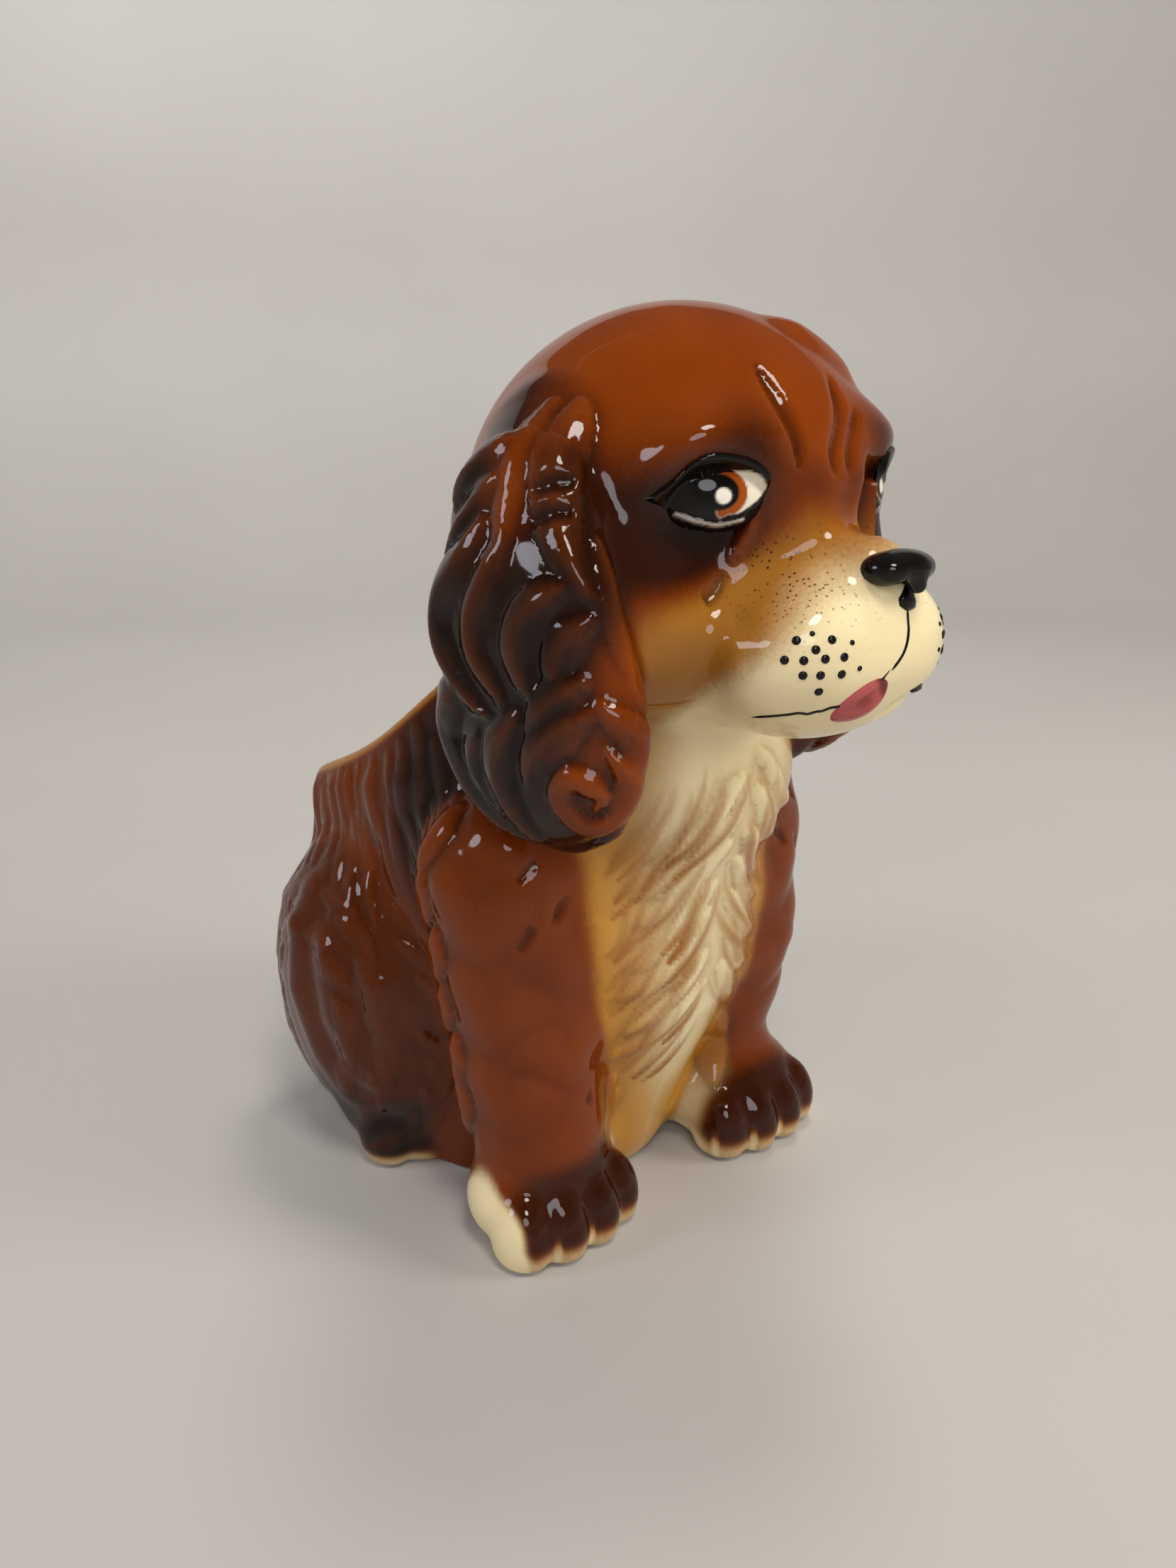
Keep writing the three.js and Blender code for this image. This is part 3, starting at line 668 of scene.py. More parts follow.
earLocks = dict(  # drawn on the ear's outer face: mm forward and mm down from its root, half width, rise
    curves=(
        (((3, 7), (-5, 11), (-10, 15), (-12, 19)), 4.2, 1.9),
        (((2, 12), (-3, 17), (-9, 23), (-11, 27)), 3.8, 1.7),
        (((0, 20), (-3, 26), (-9, 32), (-10, 38), (-6, 44), (1, 49), (6, 51)), 5.4, 2.3),
        (((-3, 46), (-9, 51), (-12, 56), (-8, 62), (0, 69), (9, 74)), 6.0, 2.4),
        (((6, 22), (3.5, 29), (1, 35), (2, 41), (7, 46), (10, 51)), 3.9, 1.5),
        (((3, 2), (3.5, 10), (4.5, 17), (6.5, 24), (8, 31)), 4.4, 1.3),
        (((7, 2), (10.5, 9), (13, 15.5), (16, 21), (21, 27), (25, 33)), 5.0, 2.0),
        (((19, 28), (13.5, 33), (11.5, 38), (13, 43), (17, 46.5)), 4.2, 1.7),
        (((23, 33), (20, 37), (19.5, 42), (24, 46)), 3.8, 1.4),
        (((20, 22), (26, 30), (28, 37), (30, 44)), 3.2, 1.3),
        (((23, 42.5), (18, 46.5), (13, 52)), 4.4, 1.7),
        (((24, 47.5), (19, 51), (14.5, 56), (12, 61)), 4.6, 1.9),
        (((11, 50), (7, 56), (6, 62), (9, 70), (11, 74)), 4.8, 1.7),
        (((26, 46), (31, 51), (32.5, 58), (30, 65), (24, 70.5), (17, 73)), 3.6, 1.5),
        (((1, 55), (-2, 60), (2, 66), (8, 71)), 3.6, 1.2),
    ),
    curl=((27, 52), (29, 58), (27, 65), (21.5, 66.5), (18.8, 61.5), (22, 57.5), (25.5, 60), (24, 63)),
    curlHalfWidth=2.5,
    curlRise=1.9,
    dents=(((9, 14.5), (15, 13.5)), ((10, 19), (16.5, 18))),  # across the front lock, near its root
    dentHalfWidth=2.6,
    dentDepth=1.1,
    strands=2,
)


def earHair(side):
    made = []
    for curve, wide, rise in earLocks["curves"]:
        made.append(lock(onEar(side, curve), wide, rise, "tuft", earLocks["strands"]))
    made.append(lock(onEar(side, earLocks["curl"]), earLocks["curlHalfWidth"], earLocks["curlRise"], "roll"))
    for dent in earLocks["dents"]:
        made.append(lock(onEar(side, dent), earLocks["dentHalfWidth"], -earLocks["dentDepth"], "fold"))
    return made


strand = dict(  # rows of long strands over the broad locks on the pot's sides and rump
    spacing=4.8,
    length=21,
    halfWidth=2.6,
    rise=0.55,
    rows=4,
    rowDrop=15,
    topZ=112,
    rumpTopZ=82,
    sideRun=(-14, 58),  # from the shoulder to the rump
    rumpRun=(-34, 36),
    frontmost=-22,
    stagger=2.4,  # each second row starts this much further on
    jitter=2.5,
    wave=0.8,
    rimGap=2.5,
    haunchGap=5,
)


def haunchTop(y):
    (_, cy, cz), (_, b, c) = legs["haunch"]
    return cz + c * np.sqrt(np.maximum(1 - ((y - cy) / b) ** 2, 0))


def strandLock(chart, points, random):
    return lock(chart(points), strand["halfWidth"] * random.uniform(0.8, 1.2), strand["rise"], "leaf", 2)


def strandStarts(run, row):
    return enumerate(np.arange(run[0] + strand["stagger"] * (row % 2), run[1], strand["spacing"]))


def sideHair(side, random):
    made = []
    y, z = rimLine().T
    for row in range(strand["rows"] - 1):
        for k, startY in strandStarts(strand["sideRun"], row):
            at = startY + random.uniform(-1, 1)
            top = min(np.interp(at, y, z), strand["topZ"]) - strand["rimGap"] - strand["rowDrop"] * row
            top += random.uniform(-strand["jitter"], strand["jitter"])
            length = strand["length"] * random.uniform(0.8, 1.25)
            lean = random.uniform(0.15, 0.35) + 0.25 * row
            points = []
            for s in np.linspace(0, 1, 4):
                wave = strand["wave"] * math.sin(4 * s + k)
                points.append((at - lean * s * length * (0.5 + 0.5 * s) + wave, top - s * length))
            if top - strand["haunchGap"] > haunchTop(at) and points[-1][0] > strand["frontmost"]:
                made.append(strandLock(lambda drawn: onSide(side, drawn), points, random))
    return made


def rumpHair(random):
    made = []
    for row in range(strand["rows"]):
        for k, startX in strandStarts(strand["rumpRun"], row):
            at = startX + random.uniform(-1, 1)
            top = strand["rumpTopZ"] - strand["rowDrop"] * row
            top += random.uniform(-strand["jitter"], strand["jitter"])
            length = strand["length"] * random.uniform(0.8, 1.2)
            points = []
            for s in np.linspace(0, 1, 4):
                wave = strand["wave"] * math.sin(4 * s + k)
                points.append((at * (1 + 0.12 * s) + wave, top - s * length))
            made.append(strandLock(onRear, points, random))
    return made


haunchHair = dict(  # tufts in arcs round the haunch: share of its outline and how many on each side
    rings=((0.97, 9), (0.74, 7), (0.5, 5)),
    span=140,  # degrees from the top that the tufts reach
    first=8,  # degrees from the top to the first tuft
    jitter=4,
    sweep=34,
    spread=0.1,  # how far outwards a tuft's tip goes
    lowest=4,
    halfWidth=3.4,
    rise=0.6,
)


def haunchLocks(side, random):
    (_, cy, cz), (_, b, c) = legs["haunch"]
    form = sectionForm(side, "hind_leg")
    made = []
    for share, count in haunchHair["rings"]:
        for turn in (1, -1):
            for k in range(count):
                jitter = random.uniform(-haunchHair["jitter"], haunchHair["jitter"])
                start = turn * (haunchHair["first"] + k * haunchHair["span"] / count + jitter)
                sweep = turn * haunchHair["sweep"] * random.uniform(0.8, 1.2)
                points = []
                for s in np.linspace(0, 1, 4):
                    angle = math.radians(start + sweep * s)
                    out = share + haunchHair["spread"] * s
                    z = max(cz + c * out * math.cos(angle), haunchHair["lowest"])
                    points.append((cy + b * out * math.sin(angle), z))
                wide = haunchHair["halfWidth"] * random.uniform(0.8, 1.15)
                made.append(lock(onSide(side, points, form), wide, haunchHair["rise"], "tuft", 2))
    return made


legHair = dict(  # tufts down the leg's outer back edge and its inner front edge: degrees and height
    outer=((112, 94), (121, 82), (116, 70), (121, 58), (115, 47), (120, 37)),
    inner=((-58, 62), (-63, 50), (-59, 40), (-63, 31)),
    dents=(((14, 88), (30, 84)), ((-4, 80), (10, 75)), ((22, 76), (34, 70)), ((-24, 36), (-10, 33))),
    drop=15,
    lean=(-16, 20),  # degrees at a tuft's root, and from there to its tip
    halfWidth=5.0,
    rise=dict(outer=1.9, inner=1.4),
    stroke=dict(outer=0, inner=0.9),
    dentHalfWidth=1.9,
    dentDepth=0.8,
    swells=(((66, 98), (40, 92), (18, 94)), ((84, 80), (60, 74), (38, 77)), ((20, 72), (-4, 66), (-24, 69)),
            ((80, 60), (58, 54), (36, 57)), ((30, 50), (8, 45), (-16, 48)), ((78, 40), (56, 35), (34, 38))),
    swellHalfWidth=8,
    swellRise=0.9,
)


def forelegLocks(side, random):
    made = []
    for swell in legHair["swells"]:
        made.append(lock(onForeleg(side, swell), legHair["swellHalfWidth"], legHair["swellRise"], "swell"))
    for dent in legHair["dents"]:
        made.append(lock(onForeleg(side, dent), legHair["dentHalfWidth"], -legHair["dentDepth"], "fold"))
    first, turn = legHair["lean"]
    for edge, rise in legHair["rise"].items():
        for angle, z in legHair[edge]:
            points = [(angle + first + turn * s, z - legHair["drop"] * s) for s in np.linspace(0, 1, 4)]
            wide = legHair["halfWidth"] * random.uniform(0.85, 1.1)
            made.append(lock(onForeleg(side, points), wide, rise, "tuft", 0, legHair["stroke"][edge]))
    return made


chestHair = dict(  # locks from the middle of the breast outwards: x and z
    top=103,
    step=8,
    count=7,
    reach=19,
    drop=17,
    middleX=6,
    parting=1.5,  # how far from the middle the locks start
    wave=1.6,
    stagger=3,  # how much higher the left side's locks start
    halfWidth=3.6,
    rise=1.2,
    strokes=66,  # fine brush strokes on each side, from the leg's edge up to the middle
    strokeHalfWidth=1.35,
    strokeLength=19,
    strokeRise=0.2,
    strokeFrom=(28, 88),  # heights between which they start
    strokeOut=(9, 27),  # how far out from the middle
    strokeLean=(0.35, 0.95),
    strokeStrength=(0.5, 1.0),
)


def chestLocks(random):
    made = []
    for k in range(chestHair["count"]):
        for side in (-1, 1):
            top = chestHair["top"] - chestHair["step"] * k + random.uniform(-1, 1)
            top += chestHair["stagger"] if side > 0 else 0
            reach = chestHair["reach"] * random.uniform(0.85, 1.15)
            points = []
            for s in np.linspace(0, 1, 5):
                wave = chestHair["wave"] * math.sin(2 * math.pi * s)
                x = chestHair["middleX"] + side * (chestHair["parting"] + reach * s**1.4 + wave)
                points.append((x, top - chestHair["drop"] * s))
            wide = chestHair["halfWidth"] * random.uniform(0.8, 1.2)
            made.append(lock(onBreast(points), wide, chestHair["rise"], "leaf", 2))
    return made


def chestStrokes(random):
    made = []
    for side in (-1, 1):
        for z in random.uniform(*chestHair["strokeFrom"], chestHair["strokes"]):
            x = chestHair["middleX"] + side * random.uniform(*chestHair["strokeOut"])
            length = chestHair["strokeLength"] * random.uniform(0.6, 1.3)
            lean = random.uniform(*chestHair["strokeLean"])
            points = []
            for s in np.linspace(0, 1, 4):
                points.append((x - side * lean * length * s * (1.3 - 0.6 * s), z + length * s))
            wide = chestHair["strokeHalfWidth"] * random.uniform(0.7, 1.4)
            strength = random.uniform(*chestHair["strokeStrength"])
            made.append(lock(onBreast(points), wide, chestHair["strokeRise"], "leaf", 0, strength))
    return made


creases = dict(  # face folds: degrees from straight ahead and mm above the head's middle, half width, rise
    swells=(  # the forehead's left side, the stop between the eyes, the gap beside the tongue
        (((37, 32), (41, 30), (45, 28)), 9.0, 1.7),
        (((5, -28.5), (10, -27.2), (16, -26)), 4.0, -1.8),
        (((4, 3), (9, 0), (16, -1)), 9.0, -1.6),
        (((20, 9), (17.5, 6), (16, 2)), 6.0, -2.4),
    ),
    brow=(
        (((-20, 27), (-16, 20.5), (-13.5, 15), (-14.5, 10.5)), 2.6, -1.1),
        (((15, 25), (8, 19), (-0.5, 13.3), (-2, 9)), 2.4, -1.0),
        (((19, 20), (7, 13.7), (4, 9)), 2.2, -0.9),
    ),
    paired=(  # drawn on the dog's right and mirrored
        (((-24, 5), (-26.5, 0.3), (-31.5, -4)), 1.9, 1.2),
        (((-55.5, -10.5), (-44.5, -10.5), (-36.5, -8.5), (-33, -5.5)), 2.6, -0.9),
        (((-30.5, -10), (-30, -14.5), (-30.5, -20)), 4.5, -0.3),
    ),
)


def faceCreases():
    mirror = [([(-turn, z) for turn, z in line], wide, rise) for line, wide, rise in creases["paired"]]
    made = [lock(onFace(line), wide, rise, "swell") for line, wide, rise in creases["swells"]]
    for line, wide, rise in (*creases["brow"], *creases["paired"], *mirror):
        made.append(lock(onFace(line), wide, rise, "fold"))
    return made


sculpt = dict(
    step=0.8,
    quickStep=1.6,
    low=(-60, -98, -3),
    high=(60, 72, 194),
    seed=11,
    hairless=(1, 6),  # heights between which the hair starts above the floor
    levelling=24,  # rounds of evening out against which a point stands proud
)


def sculpted():
    step = sculpt["step"]
    points, faces = netted(clay, sculpt["low"], sculpt["high"], step)
    points = settled(clay, points)
    normals = outward(clay, points)
    print("clay surface:", len(points), "points,", len(faces), "faces")
    random = np.random.default_rng(sculpt["seed"])
    locks = [*faceCreases(), *rumpHair(random), *chestLocks(random), *chestStrokes(random)]
    for side in (-1, 1):
        locks += earHair(side) + sideHair(side, random)
        locks += haunchLocks(side, random) + forelegLocks(side, random)
    rise, strokes = combed(points, normals, locks)
    rise *= smoothstep(points[:, 2], *sculpt["hairless"])
    print("hair:", len(locks), "locks")
    return points, points + normals * rise[:, None], faces, rise, strokes


rest, points, faces, rise, strokes = sculpted()
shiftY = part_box("head")[0].y * 1000 - rest[:, 1].min()  # from the figure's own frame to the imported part's


def toMetres(points):
    return (np.asarray(points) + (0, shiftY, 0)) / 1000


# Reading the finished surface: smooth normals, and where it is hollow or proud

def vertexNormals(points, faces):
    a, b, c, d = (points[faces[:, i]] for i in range(4))
    across = np.cross(c - a, d - b)
    normals = np.zeros_like(points)
    for i in range(4):
        for axis in range(3):
            normals[:, axis] += np.bincount(faces[:, i], across[:, axis], len(points))
    return normals / np.maximum(np.linalg.norm(normals, axis=1), 1e-9)[:, None]


def neighbourMean(values, faces, rounds):
    ends = np.concatenate([faces, np.roll(faces, -1, 1)]).reshape(-1)
    others = np.concatenate([np.roll(faces, -1, 1), faces]).reshape(-1)
    count = np.maximum(np.bincount(ends, minlength=len(values)), 1)
    for _ in range(rounds):
        values = 0.5 * values + 0.5 * np.bincount(ends, values[others], len(values)) / count
    return values


normals = vertexNormals(points, faces)
proud = rise - neighbourMean(rise, faces, sculpt["levelling"])


# Airbrush: how much of each slip lies on every point of a section

airbrush = dict(
    blendMm=1.2,  # softness of the joins between the sections
    # edges on the face: degrees from straight ahead, and mm above the head's middle
    tanEdge=((0, 6, 12, 22, 30, 40, 50, 60, 80), (1, 2, 3, -1, -5, -9, -11, -12, -18)),
    tanFade=((0, 15, 25, 35, 50), (9, 8, 5, 5, 6)),  # half of the fade's height, wide on the bridge
    creamEdge=((0, 8, 14, 20, 26, 32, 38, 45, 75), (-2, -4, -6, -9, -14, -20, -26, -31, -44)),
    creamFade=8,
    # clouds, each an amount, a middle and a fade: degrees aside and mm up, or mm forward and down the ear
    shade=((1.25, 50, 1, 27, 11), (0.6, 28, 15, 13, 8), (0.4, 8, 8, 9, 6)),
    socket=((0.55, 42, 2, 15, 8),),
    earWarm=((0.75, 5, 13, 6, 12), (0.9, 29, 40, 5, 9), (1.1, 26, 60, 7, 9)),
    earDark=((0.95, 5, 60, 13, 15), (0.8, 13, 38, 11, 16)),
    # how strongly the brush strokes, the stain between the locks with painted shade in those hollows, and
    # their bare ridges with a painted highlight show
    stain=0.8,
    stroke=0.9,
    pool=0.8,
    ridge=0.3,
)


def spot(x, y, cx, cy, rx, ry):
    return np.exp(-(((x - cx) / rx) ** 2) - ((y - cy) / ry) ** 2)


def clouds(x, y, spots):
    return sum(amount * spot(x, y, *place) for amount, *place in spots)


def facePaint(p, depths):
    q = intoHead(p)
    aside, z = np.abs(np.degrees(np.arctan2(q[:, 0], -q[:, 1]))), q[:, 2]
    tanFade, creamFade = np.interp(aside, *airbrush["tanFade"]), airbrush["creamFade"]
    ahead = 1 - smoothstep(aside, 70, 100)
    tan = ahead * smoothstep((np.interp(aside, *airbrush["tanEdge"]) - z) / tanFade, -1, 1)
    cream = ahead * smoothstep(np.interp(aside, *airbrush["creamEdge"]) - z, -creamFade, creamFade)
    shade = clouds(aside, z, airbrush["shade"])
    dark = clouds(aside, z, airbrush["socket"])
    clear = 1 - tan
    return dict(
        tan=tan,
        cream=cream,
        umber=np.clip(shade, 0, 1) * clear,
        soot=dark * clear,
        freckle=spot(aside, z, 21, -5, 13, 8),
    )


def earPaint(p, depths, side):
    q = intoHead(p)
    drop = (ears["rootZ"] - q[:, 2]) / ears["length"][side]
    down = drop * ears["length"][-1]
    ahead = (ears["swing"][side] - ears["swing"][-1]) * np.clip(drop, 0, 1) - q[:, 1]
    warm = np.clip(clouds(ahead, down, airbrush["earWarm"]), 0, 1)
    dark = np.clip(0.95 * smoothstep(-ahead, -3, 7) + clouds(ahead, down, airbrush["earDark"]), 0, 1)
    return dict(umber=1 - warm, soot=dark * (1 - warm))


def bodyPaint(p, depths):
    x, y, z = p.T
    breast = smoothstep(-y, 12, 24) * smoothstep(26 - np.abs(x - 5), -4, 6)
    breast = np.maximum(breast, smoothstep(-y, 18, 30))
    leg = np.maximum(depths["left_foreleg"], depths["right_foreleg"])
    # painted shade over the tan airbrushed there: less cream and more honey beside the forelegs and on the
    # throat's sides under the head
    throat = smoothstep(np.abs(x - 5), 6, 26) * smoothstep(z, 66, 92)
    beside = np.maximum(smoothstep(leg, -9, -1), 0.8 * throat)
    # less cream towards the bottom
    foot = 1 - smoothstep(z, 15, 45)
    deep = smoothstep(tub(p, pot["centreY"], pot["halfLength"]), 3.0, 4.2)
    inner = deep * smoothstep(y, 10, 18) * smoothstep(z, 4, 6)
    lip = (1 - smoothstep(np.abs(underRim(p)), 0.8, 3.2)) * smoothstep(y, -16, -8) * (1 - inner)
    coatPart = (1 - breast) * (1 - inner) * (1 - lip)
    shoulder = spot(y, z, -8, 92, 13, 20)
    return dict(
        tan=np.clip(breast * (1 - 0.75 * smoothstep(leg, -6, 0)) + inner + lip, 0, 1),
        cream=np.clip(breast * (1 - 0.9 * beside) * (1 - 0.55 * foot) + inner, 0, 1),
        honey=breast * np.maximum(0.75 * smoothstep(leg, -22, -5), 0.5 * throat),
        umber=np.clip(0.4 + shoulder, 0, 1) * coatPart,
        soot=0.75 * shoulder * coatPart,
    )


def forelegPaint(p, depths, side):
    x, y, z = p.T
    wrist = legLine(side)[0]
    outer = side * (x - wrist[0])
    pitch = math.degrees(legs["toeFan"]) / legs["toeCount"]
    turn = np.degrees(np.arctan2(x - wrist[0], wrist[1] - legs["paw"]["forward"] - y))
    fromGap = np.abs((turn + pitch / 2) % pitch - pitch / 2)  # degrees from the nearest gap between toes
    toes = smoothstep(-y, 30, 37) * (1 - smoothstep(z, 17, 24))
    slit = 0.7 * (1 - smoothstep(fromGap, 1, 4)) * toes * (1 - smoothstep(z, 5, 10))
    sole = 1 - smoothstep(z, 2.5, 8)
    patch = smoothstep(outer, 13.5, 16.5) * (1 - smoothstep(z, 17, 25)) * smoothstep(y, -44, -38)
    pale = np.clip(sole + slit + patch, 0, 1)
    inner = smoothstep(-outer, 3, 12) * (1 - toes)
    low = 1 - smoothstep(z, 10, 34)
    return dict(
        tan=np.clip(inner * (0.4 + 0.6 * low) + pale, 0, 1),
        cream=np.clip(0.6 * inner * low + 0.45 * sole + 0.4 * slit + patch, 0, 1),
        umber=np.clip(0.3 + 0.5 * toes, 0, 1) * (1 - pale),
        soot=0.3 * toes * smoothstep(-y, 35, 42) * (1 - pale),
    )


def rearPaint(p, depths):
    z = p[:, 2]
    sole = 1 - smoothstep(z, 2, 6.5)
    low = 1 - smoothstep(z, 12, 26)
    return dict(
        tan=sole,
        cream=0.5 * sole,
        umber=(0.62 + 0.35 * low) * (1 - 0.9 * sole),
        soot=0.5 * low * (1 - sole),
    )


painters = dict(body_pot=bodyPaint, head=facePaint, tail=rearPaint)
for sideName, side in (("left", 1), ("right", -1)):
    painters[f"{sideName}_ear"] = lambda p, depths, side=side: earPaint(p, depths, side)
    painters[f"{sideName}_foreleg"] = lambda p, depths, side=side: forelegPaint(p, depths, side)
    painters[f"{sideName}_hind_leg"] = rearPaint


def painted(p, depths):
    most = np.max(list(depths.values()), axis=0)
    weights = {}
    for name, depth in depths.items():
        weights[name] = np.exp(np.maximum((depth - most) / airbrush["blendMm"], -30))
    total = sum(weights.values())
    masks = {slip: np.zeros(len(p)) for slip in ("tan", "cream", "honey", "umber", "soot", "freckle")}
    for name, paint in painters.items():
        for slip, amount in paint(p, depths).items():
            masks[slip] += weights[name] / total * amount
    return masks


depths = sectionDepths(rest)
masks = painted(rest, depths)
hollow = np.clip(-proud / 0.7, 0, 1)
dark = 1 - masks["cream"]
# on the cream the hollows take the stroke colour: partly the stain gathering there, partly painted shade
strokes = np.maximum(strokes, 0.6 * hollow * masks["cream"])
masks["honey"] = np.maximum(masks["honey"], airbrush["stain"] * strokes**0.6)  # left at a stroke's edges
masks["stroke"] = airbrush["stroke"] * strokes
# painted shade in the hollows between the locks, with the stain that gathers there
masks["pool"] = airbrush["pool"] * hollow * dark
# painted highlight on the locks' ridges, with the glaze breaking thin there
masks["ridge"] = airbrush["ridge"] * np.clip(proud / 0.8, 0, 1) * dark
masks["bare"] = 1 - smoothstep(rest[:, 2], 0.5, 1.2)
print("airbrush masks:", ", ".join(masks))


# Cutting the surface into its sections

def faceOwners(faces, depths):
    return np.stack([np.maximum(depth, -50)[faces].sum(1) for depth in depths.values()]).argmax(0)


def facePairs(faces):
    edges = np.sort(np.stack([faces, np.roll(faces, -1, 1)], -1).reshape(-1, 2), 1)
    which = np.repeat(np.arange(len(faces)), 4)
    key = edges[:, 0].astype(np.int64) * (faces.max() + 1) + edges[:, 1]
    order = np.argsort(key, kind="stable")
    same = key[order][1:] == key[order][:-1]
    return which[order][:-1][same], which[order][1:][same]


def islands(count, a, b):  # numbers the groups that the pairs a, b link
    parent = np.arange(count)
    while True:
        low = np.minimum(parent[a], parent[b])
        new = parent.copy()
        np.minimum.at(new, parent[a], low)
        np.minimum.at(new, parent[b], low)
        new = new[new]
        new = new[new]
        if (new == parent).all():
            return parent
        parent = new


def tidyOwners(labels, left, right):  # gives stray patches of a section to their neighbours
    for _ in range(6):
        linked = labels[left] == labels[right]
        parent = islands(len(labels), left[linked], right[linked])
        sizes = np.bincount(parent, minlength=len(labels))
        stray = np.zeros(len(labels), bool)
        for label in np.unique(labels):
            roots = np.unique(parent[labels == label])
            main = roots[sizes[roots].argmax()]
            stray |= (labels == label) & (parent != main)
        if not stray.any():
            break
        for a, b in ((left, right), (right, left)):
            move = stray[a] & (labels[a] != labels[b])
            labels[a[move]] = labels[b[move]]
    return labels


labels = tidyOwners(faceOwners(faces, depths), *facePairs(faces))


cutRings = 6  # steps from the rim of a cut to its middle


def outOfHollow(p):  # moves points of a hidden cut from the planting hollow into the pot's wall
    for _ in range(8):
        away = (p - (0, pot["centreY"], 0)) * (1, 1, 0)
        reach = np.maximum(plantingHollow(p, front(p)) + pot["luting"], 0)
        p = p + away * (reach / np.maximum(np.linalg.norm(away, axis=1), 1e-9))[:, None]
    return p


def closedPatch(quads, positions, rings=1, moved=np.asarray):
    # part of a net: each cut is closed by rings, which may be moved, and a fan in its middle
    used, local = np.unique(quads, return_inverse=True)
    local = local.reshape(quads.shape)
    start, end = local.reshape(-1), np.roll(local, -1, 1).reshape(-1)
    key = np.minimum(start, end).astype(np.int64) * len(used) + np.maximum(start, end)
    _, first, count = np.unique(key, return_index=True, return_counts=True)
    rim = first[count == 1]
    rimStart, rimEnd = start[rim], end[rim]
    group = islands(len(used), rimStart, rimEnd)
    coords, fans = positions[used], []
    for one in np.unique(group[rimStart]):
        mine = group[rimStart] == one
        rim, place = np.unique(np.stack([rimStart[mine], rimEnd[mine]]), return_inverse=True)
        a, b = place.reshape(2, -1)
        edge, last = coords[rim], rim
        for share in np.linspace(0, 1, rings + 1)[1:-1]:
            ring = len(coords) + np.arange(len(rim))
            coords = np.concatenate([coords, moved(edge + share * (edge.mean(0) - edge))])
            fans += np.stack([last[b], last[a], ring[a], ring[b]], 1).tolist()
            last = ring
        fans += [(int(last[j]), int(last[i]), len(coords)) for i, j in zip(a, b)]
        coords = np.concatenate([coords, moved(edge.mean(0)[None])])
    return used, coords, local, fans


def addMesh(name, coords, polygons, material, values=None):
    mesh = bpy.data.meshes.new(name)
    mesh.from_pydata([tuple(c) for c in toMetres(coords)], [], polygons)
    mesh.update()
    mesh.polygons.foreach_set("use_smooth", np.ones(len(mesh.polygons), bool))
    for key, amounts in (values or {}).items():
        full = np.zeros(len(coords), np.float32)
        full[: len(amounts)] = amounts
        mesh.attributes.new(key, "FLOAT", "POINT").data.foreach_set("value", full)
    mesh.materials.append(material)
    piece = bpy.data.objects.new(name, mesh)
    bpy.context.scene.collection.objects.link(piece)
    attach(piece, "root")
    return piece


def clayPiece(name, label, material):
    used, coords, local, fans = closedPatch(faces[labels == label], points, cutRings, outOfHollow)
    polygons = [tuple(map(int, quad)) for quad in local] + fans
    amounts = {key: value[used] for key, value in masks.items()}
    piece = addMesh(name + "_clay", coords, polygons, material, amounts)
    corner = [tuple(n) for n in normals[used][local.reshape(-1)]]
    for fan in fans:  # the hidden cuts stay flat, so they don't bend the shading beside them
        a, b, c = coords[list(fan[:3])]
        flat = np.cross(b - a, c - a)
        corner += [tuple(flat / max(np.linalg.norm(flat), 1e-9))] * len(fan)
    piece.data.normals_split_custom_set(corner)
    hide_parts(name)


# Materials

def addNode(tree, kind, settings=None, links=None):
    node = tree.nodes.new(kind)
    for key, value in (settings or {}).items():
        if isinstance(key, str) and hasattr(node, key):
            setattr(node, key, value)
        else:
            node.inputs[key].default_value = value
    for key, socket in (links or {}).items():
        tree.links.new(socket, node.inputs[key])
    return node


def newMaterial(name):
    material = bpy.data.materials.new(name)
    material.use_nodes = True
    material.node_tree.nodes.clear()
    return material, material.node_tree


glaze = dict(
    chestnut=("#6d2a02", "#883c05"),  # airbrushed ground, thin and thick
    tan="#a06a26",
    cream="#ecdcae",
    honey="#c28a33",
    stroke="#87430a",
    umber="#2d1004",
    soot="#0d0604",
    pool="#1a0802",  # where the stain gathers between the locks, with painted shade in the hollows
    ridge="#9a4c18",  # where the glaze breaks thin over them, with a painted highlight on the ridges
    freckle="#2d1609",
    bare="#d9d2c2",
    cloudMm=14.0,
    sprayMm=0.7,
    wander=0.8,  # how far the two above move the airbrush's edge
    freckleMm=1.1,
    rippleMm=9.0,
    ripple=0.05,
)
gloss = {  # the clear glaze: all the shine comes from this coat
    "Roughness": 0.6,
    "IOR": 1.45,
    "Specular IOR Level": 0.0,
    "Coat Weight": 0.75,
    "Coat Roughness": 0.06,
    "Coat IOR": 1.42,
}


